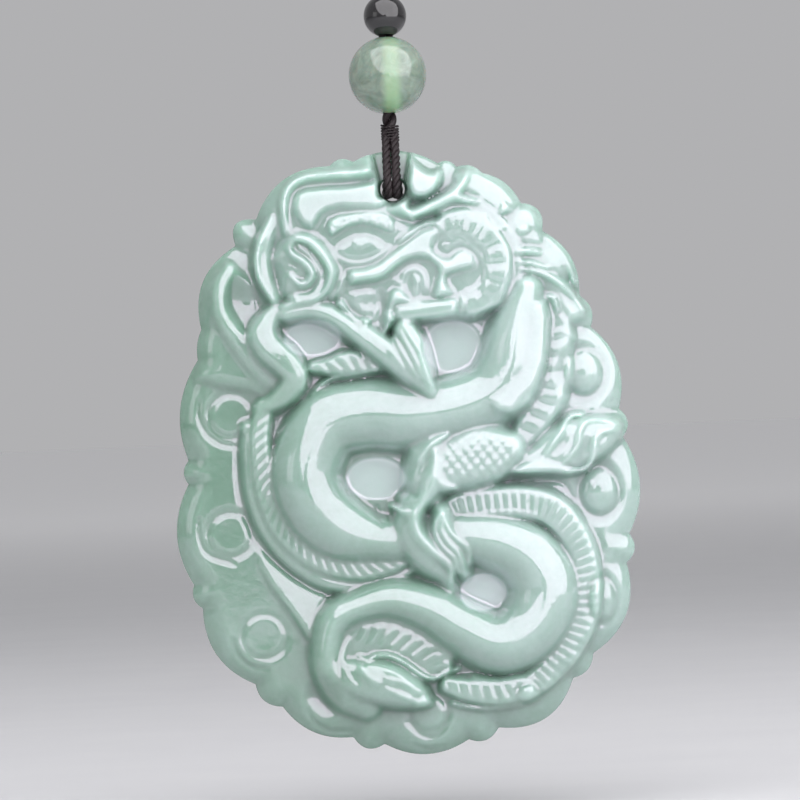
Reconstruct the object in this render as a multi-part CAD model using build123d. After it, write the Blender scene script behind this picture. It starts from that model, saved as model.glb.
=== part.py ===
"""A carved jade dragon pendant on a beaded neck cord.

Millimetres. +Z is up and the carved face looks towards -Y. The origin is the middle of the
neck cord where it lies on the nape, and everything hangs below and in front of it.
"""
from build123d import *
import math
import os

import numpy as np

# The plaque
pendant_width = 47.6
pendant_height = 61.8
plate_depth = 4.6
relief_height = 4.0
rim_round = 2.6
rim_fall = 1.5
back_edge = 0.5

# The cord hole, and the fan-shaped seat on both faces where the loop swings: the plate is thinned
# by a cone about the hole, from its thickness at the hole's edge to that at the plaque's top edge
hole_radius = 1.25
hole_across = -0.9
hole_up = 87.4
hole_to_rim = 4.0
seat_inner = 3.0
seat_outer = 0.9
swing = 12

# The string above the plaque
strand_diameter = 0.95
loop_gap = 0.12
loop_seat = 0.45
loop_rise = 4.8
core_diameter = 1.5
wrap_thickness = 0.18
binding_length = 1.9
bare_core = 1.0
jade_bead_diameter = 8.0
black_bead_diameter = 4.4
black_bead_height = 4.0
bead_gap = 0.08
bore_gap = 0.06
cord_diameter = 1.3

# The neck cord's route from the nape to the fork above the beads, on the wearer's left: x, y, z
NECK_ROUTE = [
    (30, -6, -2),
    (54, -26, -11),
    (66, -55, -32),
    (67, -86, -62),
    (58, -111, -98),
    (42, -128, -136),
    (22, -137, -171),
    (6, -139, -195),
    (0.72, -139, -205),
    (0.69, -139, -209),
]

# The plaque's outline, clockwise from the top: a row for each scallop, as the place where it starts,
# in per cent of the half width and half height from the middle, and its swell as a share of its chord
SCALLOPS = [
    # across, up, swell
    (-27.5, 95.6, 0.22),
    (-17.5, 96.7, 0.146),
    (19.0, 95.3, 0.22),
    (27.0, 93.8, 0.17),
    (37.8, 91.2, 0.13),
    (53.8, 80.8, 0.28),
    (62.5, 71.3, 0.155),
    (77.5, 49.3, 0.20),
    (81.8, 38.8, 0.163),
    (92.3, 11.3, 0.25),
    (93.5, 2.0, 0.145),
    (94.5, -30.2, 0.235),
    (92.8, -39.8, 0.182),
    (76.7, -69.3, 0.19),
    (67.6, -77.2, 0.205),
    (34.6, -92.5, 0.22),
    (21.5, -96.0, 0.15),
    (-14.7, -96.3, 0.255),
    (-28.0, -93.6, 0.145),
    (-57.9, -82.5, 0.205),
    (-69.2, -74.7, 0.165),
    (-90.4, -48.8, 0.21),
    (-93.7, -41.0, 0.143),
    (-94.2, -7.5, 0.207),
    (-93.8, 0.3, 0.13),
    (-87.8, 33.5, 0.08),
    (-85.7, 43.5, 0.185),
    (-69.5, 70.8, 0.40),
    (-60.0, 79.2, 0.175),
]

# Raised forms that follow a line. Each row is a place on the line, in per cent of the half width and
# half height, the form's half breadth in per cent of the half width, and its rise in per cent of the
# relief height
RIDGES = {
    "body": [
        # across, up, breadth, rise
        (55, 52, 7.5, 78),
        (52, 44, 11, 84),
        (49, 35, 13.5, 88),
        (46.5, 26, 15, 90),
        (38, 18, 14.5, 90),
        (22, 13.5, 14.5, 88),
        (2, 12, 15.5, 88),
        (-17, 13, 15.5, 88),
        (-34, 9.5, 15.8, 88),
        (-43.3, -4, 15.8, 88),
        (-40.5, -16, 15.8, 88),
        (-30, -24.5, 14.8, 84),
        (-14, -28.5, 10.5, 74),
        (4, -29, 10, 64),
        (20, -28.5, 11, 74),
        (36, -30.5, 13, 86),
        (50, -36.5, 14.8, 88),
        (57, -47, 15.8, 88),
        (51, -59, 14.6, 88),
        (37, -64.5, 13.5, 88),
        (22, -59.5, 12.5, 86),
        (8, -52.5, 11.3, 84),
        (-8, -48.5, 9.5, 80),
        (-22, -50, 8, 76),
        (-33, -54, 8, 74),
        (-37, -62, 7.5, 72),
        (-37, -70, 8, 70),
        (-32, -77.5, 8.5, 62),
        (-22, -82, 8, 50),
    ],
    "tail_paw": [
        (-33, -74, 7.5, 66),
        (-23, -76.5, 12.5, 74),
        (-11, -77.5, 12.5, 74),
        (-1, -80.5, 6.5, 66),
    ],
    "thigh": [
        (44, 0, 8, 84),
        (32, -2, 15, 96),
        (20, -5, 12, 98),
        (10, -10, 7.5, 97),
    ],
    "shin": [
        (11.5, -4, 5.5, 96),
        (10, -12, 6, 98),
        (3, -19, 6, 94),
        (3, -26, 8, 90),
        (9, -33, 9, 88),
        (16, -39, 7.5, 84),
        (17.5, -45, 4.5, 72),
    ],
    "claws": [
        (14, -20, 4, 82),
        (15, -27, 6, 84),
        (20, -34, 5.5, 80),
        (22.5, -41, 3.5, 70),
    ],
    "forepaw": [
        (46, -9, 3.5, 66),
        (57, -5, 6.5, 78),
        (67, 0, 9, 78),
        (77, 2, 9.5, 72),
        (88, 5, 5.5, 58),
    ],
    "crest": [
        (-47, 74, 3, 60),
        (-48, 82, 4, 68),
        (-45, 88.3, 4.4, 70),
        (-37, 92, 4.4, 70),
        (-25, 93, 4.4, 68),
        (-13, 94, 4.2, 58),
        (-8, 95.8, 3, 42),
    ],
    "crest_slope": [
        (-51, 74, 6, 36),
        (-52, 82, 8, 42),
        (-47, 89, 8.5, 44),
        (-37, 92.5, 8.5, 44),
        (-20, 94, 8, 40),
        (-9, 96, 6, 30),
    ],
    "cheek_lock": [
        (-52.5, 78, 3.5, 48),
        (-56, 72.5, 4.5, 58),
        (-57.8, 66, 4.8, 60),
        (-57, 59.5, 4.6, 58),
        (-53.5, 53, 3.6, 50),
    ],
    "brow": [
        (-29.5, 73.5, 3, 70),
        (-26, 77, 3.8, 78),
        (-17, 78.6, 4.2, 82),
        (-7, 77.6, 4.2, 82),
        (-1.5, 74.5, 3.2, 74),
    ],
    "lower_lid": [
        (-28, 67, 2.2, 66),
        (-22, 63.8, 2.6, 70),
        (-14, 63.3, 2.6, 70),
        (-5, 66.3, 2.6, 72),
        (5, 71.3, 2.6, 74),
        (16, 75.5, 2.4, 70),
    ],
    "nose_ring": [
        (-46, 71, 3, 74),
        (-41, 72.8, 3.4, 80),
        (-34, 68.5, 3.6, 84),
        (-28.5, 62, 3.6, 84),
        (-29.5, 55.5, 3.4, 82),
        (-36, 51.8, 3, 76),
        (-45, 51.2, 2.8, 70),
        (-51, 48, 2.8, 62),
    ],
    "horn": [
        (0, 81, 3.5, 80),
        (7, 79.5, 4.5, 92),
        (15, 81.5, 4.5, 94),
        (23, 85, 4, 90),
        (31, 90.5, 3, 70),
    ],
    "horn_fork": [
        (25, 84.5, 3, 86),
        (33, 83.5, 3, 78),
        (40, 81, 2.8, 62),
    ],
    "mane": [
        (20, 73.5, 4.5, 72),
        (29, 73.5, 6.5, 78),
        (37.5, 69.5, 6.5, 78),
        (42, 62, 6.2, 78),
        (41, 55, 6, 74),
        (36, 48.8, 5, 68),
        (31, 46, 3.5, 60),
    ],
    "jaw_bar": [
        (-2, 47.2, 4.2, 80),
        (12, 47.2, 4.6, 86),
        (25.5, 47.2, 4.6, 84),
    ],
    "lower_jaw": [
        (-49, 47.2, 4, 62),
        (-37, 48.2, 4.5, 68),
        (-26, 45, 5.5, 76),
        (-15, 38.5, 6.5, 84),
        (-4, 31.5, 7, 96),
        (5, 25.5, 6.5, 100),
        (12, 19.5, 3, 92),
    ],
    "beard": [
        (2, 40, 7, 90),
        (5, 34, 7, 100),
        (9, 27, 5, 106),
        (12.5, 20.5, 2, 100),
    ],
    "upper_lip": [
        (-27, 51, 2.6, 66),
        (-20, 46, 3, 76),
        (-13, 42.5, 3, 82),
    ],
    "inner_lip": [
        (-1, 53, 4, 78),
        (-4.5, 47, 3, 80),
        (-7, 40, 3.5, 82),
    ],
    "whisker": [
        (-54, 48, 4, 52),
        (-59, 42, 7, 62),
        (-57, 36.5, 7.5, 68),
        (-51, 32, 7.5, 70),
        (-46.5, 27, 6.5, 68),
        (-48.5, 22.5, 6, 64),
        (-55, 18.5, 4.5, 52),
        (-62, 16.5, 3, 36),
    ],
    "fin_left": [
        (-61, 17, 6, 30),
        (-63.5, 8, 6.5, 34),
        (-64.5, -2, 6.5, 36),
        (-63, -12.5, 6.8, 36),
        (-57, -24.5, 7, 36),
        (-47.5, -33, 7, 36),
        (-36, -38, 7, 36),
        (-22, -39.5, 6, 36),
        (-7, -37.5, 4.5, 34),
    ],
    "fin_neck": [
        (66, 45, 3.5, 26),
        (67, 36, 5, 36),
        (66.5, 26, 5, 38),
        (62.5, 15, 5, 38),
        (55, 6.5, 5, 36),
        (49, 0, 4, 34),
    ],
    "fin_throat": [
        (-36, 30, 3.5, 42),
        (-26, 30.5, 5, 46),
        (-12, 29, 4, 46),
    ],
    "fin_right": [
        (18, -17.5, 4, 36),
        (30, -16.5, 6, 42),
        (46, -16.5, 6.5, 44),
        (59, -19.5, 6.5, 42),
        (69, -26.5, 6, 38),
        (75.5, -37, 5.5, 36),
        (76.5, -48, 5.5, 36),
        (74, -59, 5.5, 34),
        (66.5, -68.5, 5.5, 34),
        (57, -75.5, 6, 34),
        (45, -80, 6.5, 34),
        (30, -80.5, 6.5, 34),
        (14, -77.5, 5, 34),
    ],
    "fin_tail": [
        (-26, -61, 4, 30),
        (-16, -61, 6.5, 36),
        (-4, -63.5, 6.5, 36),
        (7, -68.5, 5, 34),
    ],
    "cloud_left": [
        (-72.5, 63, 3, 14),
        (-77, 57, 4.5, 24),
        (-77.5, 50, 4.5, 26),
        (-73, 43.5, 5, 28),
        (-68, 38, 6, 28),
        (-62, 31, 6.5, 24),
        (-57, 26, 5, 16),
    ],
    "cloud_facet": [
        (-61, -35, 5, 18),
        (-52, -43, 7.5, 24),
        (-44, -49, 5.5, 20),
    ],
    "eye_ball": [
        (-21, 68.2, 7, 66),
        (-15, 68.5, 8.5, 80),
        (-8, 68.5, 7, 68),
    ],
    "nostril": [
        (2, 56, 2.6, 72),
        (5, 59.5, 2.8, 78),
        (9, 59, 2.8, 78),
        (11, 55, 2.6, 72),
    ],
}

# Raised forms with a level top, round an edge: the breadth of the edge's slope, the rise, and the
# corners
PLATEAUS = {
    "head": (7, 42, [
        # across, up
        (-51, 74), (-50, 84), (-45, 89.5), (-36, 90.5), (-12, 90), (-5, 84), (2, 80.5), (10, 77),
        (20, 79), (30, 80.5), (39, 78), (46, 71), (48.5, 63), (47, 55), (44, 47.5), (32, 44),
        (26, 43), (0, 43), (-10, 37), (-18, 42), (-28, 48.5), (-48, 48.5), (-53, 55), (-56, 66),
    ]),
    "hair": (9, 34, [
        (40, 85), (50, 82), (57, 78), (60, 71), (68, 62), (76, 50), (80, 42), (72, 39), (62, 49),
        (50, 56), (46, 66), (42, 76),
    ]),
    "crest_panel": (3.5, 50, [
        (-43, 79.5), (-43.5, 84), (-41, 87.2), (-36, 88.6), (-20, 89.2), (-7, 89.2), (-4, 85.5),
        (-8, 81.3), (-25, 80.4), (-30, 79), (-34, 76), (-38, 75.2),
    ]),
    "snout": (4.5, 98, [
        (-24, 56.5), (-10, 56.5), (-2, 59.5), (5, 64.5), (12, 64.5), (17, 59), (15, 50.8), (26, 50.8),
        (22, 57), (24, 59.5), (32, 60), (34.5, 63.5), (31, 67.5), (25, 66.5), (20, 66), (17.5, 69),
        (19, 73.5), (14, 74.5), (4, 69.5), (-4, 64.8), (-12, 62), (-22, 61.5),
    ]),
}

# Raised round forms: place and half sizes as above, and rise
DOMES = [
    # across, up, half_across, half_up, rise
    (-41, 61, 11, 9, 66),
    (13.5, 90, 8, 6.5, 62),
    (26.5, 59, 12, 10, 80),
    (7, 60, 11, 7, 72),
    (35, 86.5, 8, 6, 48),
    (46, 78.5, 8, 6.5, 52),
    (55, 72.5, 8, 6, 44),
    (60, 60, 12, 8, 40),
    (68, 52, 9, 9, 34),
    (77.5, 24, 8.5, 7.5, 30),
    (82, -15.5, 8, 8, 28),
    (81, -51.5, 6.5, 7.5, 24),
    (-74, 14.5, 10, 7.8, 22),
    (-76.5, -24.5, 9.5, 7.4, 20),
    (-64, -58.5, 10.5, 8, 20),
    (5, -86.5, 8.5, 7, 20),
    (47, -82, 7, 5, 22),
]

# Sunken round forms, with the floor they are cut down to; the last share is how much the floor swells
HOLLOWS = [
    # across, up, half_across, half_up, floor, swell
    (-37.8, 39, 12.6, 6.2, 16, 12),
    (21.8, 34.2, 12.6, 9.2, 16, 12),
    (-13.5, -8.3, 13.2, 7.2, 14, 12),
    (30.5, -47.2, 10.4, 6.2, 14, 12),
    (-67.5, 51, 6.5, 7.5, -16, 0),
    (-37.5, -80, 8, 6.8, -12, 0),
    (-16, 50, 8, 3.4, 22, 0),
]

# How finely the carved face is worked out, and how far it runs past the outline
grid_step = 0.55
face_margin = 1.2
arc_points = 10
curve_points = 6
flank_power = 0.7
hollow_step = 0.18

half_width = pendant_width / 2
half_height = pendant_height / 2
loop_width = 2 * strand_diameter
core_radius = core_diameter / 2
cord_radius = cord_diameter / 2

# Heights, from the fork of the neck cord down to the hole
hang_y = NECK_ROUTE[-1][1]
fork_z = NECK_ROUTE[-1][2]
black_bead_z = fork_z - bead_gap - black_bead_height / 2
jade_bead_z = black_bead_z - black_bead_height / 2 - bead_gap - jade_bead_diameter / 2
binding_top_z = jade_bead_z - jade_bead_diameter / 2 - bare_core
binding_z = binding_top_z - binding_length
hole_z = binding_z - loop_rise
back_y = hang_y + plate_depth / 2
ground_y = hang_y - plate_depth / 2


def place(across, up):
    """A place on the plaque, from per cent of its half sizes to x and z, with the hole at x = 0."""
    return half_width * (across - hole_across) / 100, hole_z + half_height * (up - hole_up) / 100


def scallop_arcs():
    """Start, middle and end of each scallop's arc, in x and z."""
    arcs = []
    for row, following in zip(SCALLOPS, SCALLOPS[1:] + SCALLOPS[:1]):
        x0, z0 = place(row[0], row[1])
        x1, z1 = place(following[0], following[1])
        middle = ((x0 + x1) / 2 - row[2] * (z1 - z0), (z0 + z1) / 2 + row[2] * (x1 - x0))
        arcs.append(((x0, z0), middle, (x1, z1)))
    return arcs


def outline_points(arcs):
    """The outline as a closed run of points, for measuring distances to it."""
    points = []
    for start, middle, end in arcs:
        for step in range(arc_points):
            t = step / arc_points
            swell = 4 * t * (1 - t)
            points.append([
                (1 - t) * start[i] + t * end[i] + swell * (middle[i] - (start[i] + end[i]) / 2)
                for i in (0, 1)
            ])
    return np.array(points)


def segment_distance(x, z, start, end):
    """Distance from every grid point to one segment, and how far along it the nearest place is."""
    dx, dz = end[0] - start[0], end[1] - start[1]
    along = ((x - start[0]) * dx + (z - start[1]) * dz) / (dx * dx + dz * dz)
    along = np.clip(along, 0, 1)
    return np.hypot(x - start[0] - along * dx, z - start[1] - along * dz), along


def rim_depth(x, z, points):
    """How far each grid point lies inside the outline, and 0 outside it."""
    nearest = np.full(x.shape, np.inf)
    inside = np.zeros(x.shape, bool)
    for start, end in zip(points, np.roll(points, -1, axis=0)):
        nearest = np.minimum(nearest, segment_distance(x, z, start, end)[0])
        crosses = (start[1] > z) != (end[1] > z)
        reach = start[0] + (z - start[1]) * (end[0] - start[0]) / (end[1] - start[1] + 1e-12)
        inside ^= crosses & (x < reach)
    return np.where(inside, nearest, 0)


def smooth_line(rows):
    """More rows on a smooth curve through the given ones, so that a form bends without corners."""
    rows = np.array([(*place(row[0], row[1]), row[2] * half_width / 100, row[3]) for row in rows])
    padded = np.vstack([2 * rows[0] - rows[1], rows, 2 * rows[-1] - rows[-2]])
    line = []
    for a, b, c, d in zip(padded, padded[1:], padded[2:], padded[3:]):
        for step in range(curve_points):
            t = step / curve_points
            line.append(
                0.5 * (2 * b + (c - a) * t + (2 * a - 5 * b + 4 * c - d) * t ** 2
                       + (3 * b - a - 3 * c + d) * t ** 3)
            )
    return line + [rows[-1]]


def flank(reach):
    """A rounded section: 1 on the middle line and 0 at the form's edge."""
    return np.clip(1 - reach ** 2, 0, 1) ** flank_power


def relief(x, z):
    """Height of the carving above the plain ground, in per cent of the relief height."""
    height = np.zeros(x.shape)
    for rows in RIDGES.values():
        line = smooth_line(rows)
        for start, end in zip(line, line[1:]):
            distance, along = segment_distance(x, z, start, end)
            breadth = start[2] + along * (end[2] - start[2])
            rise = start[3] + along * (end[3] - start[3])
            height = np.maximum(height, rise * flank(distance / breadth))
    for slope, rise, corners in PLATEAUS.values():
        corners = np.array([place(across, up) for across, up in corners])
        inside = rim_depth(x, z, corners) / (slope * half_width / 100)
        height = np.maximum(height, rise * flank(np.clip(1 - inside, 0, 1)))
    for across, up, half_across, half_up, rise in DOMES:
        height = np.maximum(height, rise * flank(round_reach(x, z, across, up, half_across, half_up)))
    for across, up, half_across, half_up, floor, swell in HOLLOWS:
        reach = round_reach(x, z, across, up, half_across, half_up)
        depth = np.clip((1 - reach) / hollow_step, 0, 1)
        sunk = floor + swell * flank(reach)
        height = np.where(depth > 0, height + depth * np.minimum(sunk - height, 0), height)
    return height


def round_reach(x, z, across, up, half_across, half_up):
    """0 in the middle of a round form and 1 on its edge."""
    middle_x, middle_z = place(across, up)
    return np.hypot(
        (x - middle_x) / (half_across * half_width / 100),
        (z - middle_z) / (half_up * half_height / 100),
    )


def soften(height):
    """Take the sharpness off the carving, as polishing does."""
    padded = np.pad(height, 1, mode="edge")
    rows = (padded[:-2] + 2 * padded[1:-1] + padded[2:]) / 4
    return (rows[:, :-2] + 2 * rows[:, 1:-1] + rows[:, 2:]) / 4


def carved_face(points):
    """The carved front as one smooth surface over the whole outline."""
    low, high = points.min(axis=0) - face_margin, points.max(axis=0) + face_margin
    steps = np.ceil((high - low) / grid_step).astype(int)
    xs = np.linspace(low[0], high[0], steps[0])
    zs = np.linspace(low[1], high[1], steps[1])
    x, z = np.meshgrid(xs, zs, indexing="ij")
    fall = rim_fall * np.clip(1 - rim_depth(x, z, points) / rim_round, 0, 1) ** 2
    front = ground_y - soften(relief(x, z) * relief_height / 100 - fall)
    rows = [
        [(float(xs[i]), float(front[i, j]), float(zs[j])) for j in range(len(zs))]
        for i in range(len(xs))
    ]
    return Face.make_surface_from_array_of_points(rows, tol=0.01, min_deg=3, max_deg=3)


def make_pendant():
    """The plaque: a scalloped plate whose front is the carved face, with the cord hole and its seats."""
    arcs = scallop_arcs()
    edges = [
        ThreePointArc(*[(x, back_y, z) for x, z in arc])
        for arc in arcs
    ]
    blank = extrude(
        make_face(Wire(edges)), amount=plate_depth + 2 * relief_height, dir=(0, -1, 0)
    )
    blank = chamfer(blank.faces().sort_by(Axis.Y)[-1].edges(), back_edge)
    halves = blank.split(carved_face(outline_points(arcs)), keep=Keep.ALL)
    plaque = max(halves, key=lambda half: half.center().Y)
    plaque -= Pos(0, hang_y, hole_z) * Rotation(90, 0, 0) * Cylinder(hole_radius, 4 * plate_depth)
    return plaque - make_seats()


def make_seats():
    """What the loop's legs need to be free of, in front of the plate and behind it."""
    far = 1.5 * hole_to_rim
    slope = (seat_inner - seat_outer) / 2 / (hole_to_rim - hole_radius)
    deep = seat_inner / 2 + slope * hole_radius
    edge = deep - slope * far
    thick = plate_depth + relief_height
    cone = make_face(Polyline((0, 0, deep), (far, 0, edge), (far, 0, thick), (0, 0, thick), close=True))
    cone = revolve(cone, Axis.Z)
    low = strand_diameter + 2 * loop_gap
    spread = far * math.tan(math.radians(swing + 2))
    fan = make_face(Polyline(
        (-low, -hole_radius / 2), (low, -hole_radius / 2), (low + spread, far), (-low - spread, far),
        close=True,
    ))
    seat = cone & extrude(fan, amount=thick)
    front = Pos(0, hang_y, hole_z) * Rotation(90, 0, 0) * seat
    return front + mirror(front, Plane.XZ.offset(-hang_y))


def make_loop():
    """The doubled cord: up in front of the plaque, through the hole and up behind it."""
    slope = (seat_inner - seat_outer) / 2 / (hole_to_rim - hole_radius)
    clear = (strand_diameter / 2 + loop_gap) * math.hypot(1, slope)
    rim_y = seat_outer / 2 + clear
    low_y = rim_y + slope * (hole_to_rim - loop_seat)
    near_y = core_radius - strand_diameter / 2
    points = [
        (0, hang_y, hole_z + loop_seat),
        (0, hang_y - low_y, hole_z + loop_seat),
        (0, hang_y - rim_y, hole_z + hole_to_rim),
        (0, hang_y - near_y, binding_z + strand_diameter / 4),
        (0, hang_y - near_y, binding_z + strand_diameter),
    ]
    path = FilletPolyline(*points, radius=0.55 * strand_diameter)
    start = Plane(origin=path @ 0, x_dir=(1, 0, 0), z_dir=path % 0)
    leg = sweep(start * SlotOverall(loop_width, strand_diameter), path=path)
    leg = leg.split(Plane.XY.offset(binding_z), keep=Keep.BOTTOM)
    return leg + mirror(leg, Plane.XZ.offset(-hang_y))


def make_binding():
    """Thread wound tight round the cords under the beads."""
    outer = core_radius + bore_gap + wrap_thickness
    sleeve = Cylinder(outer, binding_length, align=(Align.CENTER, Align.CENTER, Align.MIN))
    bore = Cylinder(core_radius + bore_gap, 3 * binding_length)
    return Pos(0, hang_y, binding_z) * (sleeve - bore)


def make_jade_bead():
    """A round bead, drilled for the cords."""
    bead = Sphere(jade_bead_diameter / 2) - Cylinder(core_radius + bore_gap, 2 * jade_bead_diameter)
    return Pos(0, hang_y, jade_bead_z) * bead


def make_black_bead():
    """A round bead with flat ends, drilled for the cords."""
    bead = Sphere(black_bead_diameter / 2) & Box(
        2 * black_bead_diameter, 2 * black_bead_diameter, black_bead_height
    )
    bead -= Cylinder(core_radius + bore_gap, 2 * black_bead_diameter)
    return Pos(0, hang_y, black_bead_z) * bead


def arc_radii(points):
    """The largest radius that each corner's two runs leave room for."""
    radii = []
    for a, b, c in zip(points, points[1:], points[2:]):
        before, after = Vector(*b) - Vector(*a), Vector(*c) - Vector(*b)
        turn = math.radians(before.get_angle(after))
        radii.append(0.45 * min(before.length, after.length) / math.tan(turn / 2))
    return radii


def make_neck_cord():
    """The neck loop, whose two strands join at the fork and run down through the beads."""
    right = [(-x, y, z) for x, y, z in NECK_ROUTE]
    points = right[::-1] + [(0, 0, 0)] + NECK_ROUTE
    radii = arc_radii(points)
    print("neck cord radii", [round(radius, 1) for radius in radii])
    path = FilletPolyline(*points, radius=radii)
    print("neck cord length", round(path.length, 1))
    start = Plane(origin=path @ 0, z_dir=path % 0)
    loop = sweep(start * Circle(cord_radius), path=path)
    core_top = fork_z + 2 * cord_diameter
    core = Pos(0, hang_y, binding_z) * Cylinder(
        core_radius, core_top - binding_z, align=(Align.CENTER, Align.CENTER, Align.MIN)
    )
    return loop + core


PIECES = {
    "jade_pendant": make_pendant,
    "cord_loop": make_loop,
    "thread_binding": make_binding,
    "jade_bead": make_jade_bead,
    "black_bead": make_black_bead,
    "neck_cord": make_neck_cord,
}

os.makedirs("parts", exist_ok=True)
for node, make in PIECES.items():
    piece = make()
    export_step(piece, f"parts/{node}.step")
    middle = piece.center(CenterOf.MASS)
    print(node, "volume", round(piece.volume, 2), "middle", [round(v, 2) for v in middle])
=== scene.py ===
"""A carved jade dragon pendant on a beaded neck cord, dressed for its picture."""
import math

import bmesh
import bpy
import numpy as np
from mathutils import Matrix, Vector, geometry


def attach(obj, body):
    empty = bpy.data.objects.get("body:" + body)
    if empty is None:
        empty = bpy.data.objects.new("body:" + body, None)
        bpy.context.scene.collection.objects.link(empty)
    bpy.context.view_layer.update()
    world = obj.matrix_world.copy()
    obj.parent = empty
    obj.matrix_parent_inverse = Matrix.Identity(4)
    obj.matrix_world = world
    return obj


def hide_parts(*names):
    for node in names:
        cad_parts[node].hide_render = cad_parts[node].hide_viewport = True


MM = 0.001

# The plaque: sizes in millimetres, as in the part's source
pendant_width = 47.6
pendant_height = 61.8
plate_depth = 4.6
relief_height = 4.0
hang_y = -139.0
hole_z = -228.86
hole_across = -0.9
hole_up = 87.4
hole_radius = 1.25
hole_to_rim = 4.0
plaque_middle_z = -256
strand_diameter = 0.95
loop_gap = 0.12
seat_inner = 3.0
seat_outer = 0.9
swing = 12

rim_round = 2.6
rim_fall = 1.35

# How finely the plaque is worked: the grid's step, and points to each stretch of a curve or scallop
carving_step = 0.16
curve_points = 6
arc_points = 14

# Sections of the carved forms: powers and shares of their breadth. In millimetres are the least
# that a keen ridge stands out and the pearls' rise and groove
round_power = 0.55
keen_fullness = 0.18
keen_least = 0.12
strip_power = 8
rib_front, rib_back = 2, 5
rib_power = 0.8
rib_fade = 3
swell_power = 0.6
floor_power = 0.7
hollow_wall = 0.14
hollow_lip, hollow_lip_width = 1.03, 0.05
dish_power = 1.4
cut_power = 1.5
pearl_rise, pearl_groove, pearl_groove_width = 0.04, 0.07, 0.26
scale_lean = 0.62
scale_power = 0.35
scale_level = 0.7
scale_fade = 6

# The seat in front: its room beside the strands, how steep its banks are, and its ground edge
seat_room = 0.1
seat_room_turn = 0.5
bank_rise = 6
bank_power = 1.2
bank_edge = 0.3

half_width = pendant_width / 2
half_height = pendant_height / 2
ground_y = hang_y - plate_depth / 2
back_y = hang_y + plate_depth / 2
seat_slope = (seat_inner - seat_outer) / 2 / (hole_to_rim - hole_radius)

# The outline, clockwise from the top: where each scallop starts, in per cent of the half width and
# half height from the middle, and its swell as a share of its chord
SCALLOPS = [
    (-27.5, 95.6, 0.22), (-17.5, 96.7, 0.146), (19.0, 95.3, 0.22), (27.0, 93.8, 0.17),
    (37.8, 91.2, 0.13), (53.8, 80.8, 0.28), (62.5, 71.3, 0.155), (77.5, 49.3, 0.20),
    (81.8, 38.8, 0.163), (92.3, 11.3, 0.25), (93.5, 2.0, 0.145), (94.5, -30.2, 0.235),
    (92.8, -39.8, 0.182), (76.7, -69.3, 0.19), (67.6, -77.2, 0.205), (34.6, -92.5, 0.22),
    (21.5, -96.0, 0.15), (-14.7, -96.3, 0.255), (-28.0, -93.6, 0.145), (-57.9, -82.5, 0.205),
    (-69.2, -74.7, 0.165), (-90.4, -48.8, 0.21), (-93.7, -41.0, 0.143), (-94.2, -7.5, 0.207),
    (-93.8, 0.3, 0.13), (-87.8, 33.5, 0.08), (-85.7, 43.5, 0.185), (-69.5, 70.8, 0.40),
    (-60.0, 79.2, 0.175),
]

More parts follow.
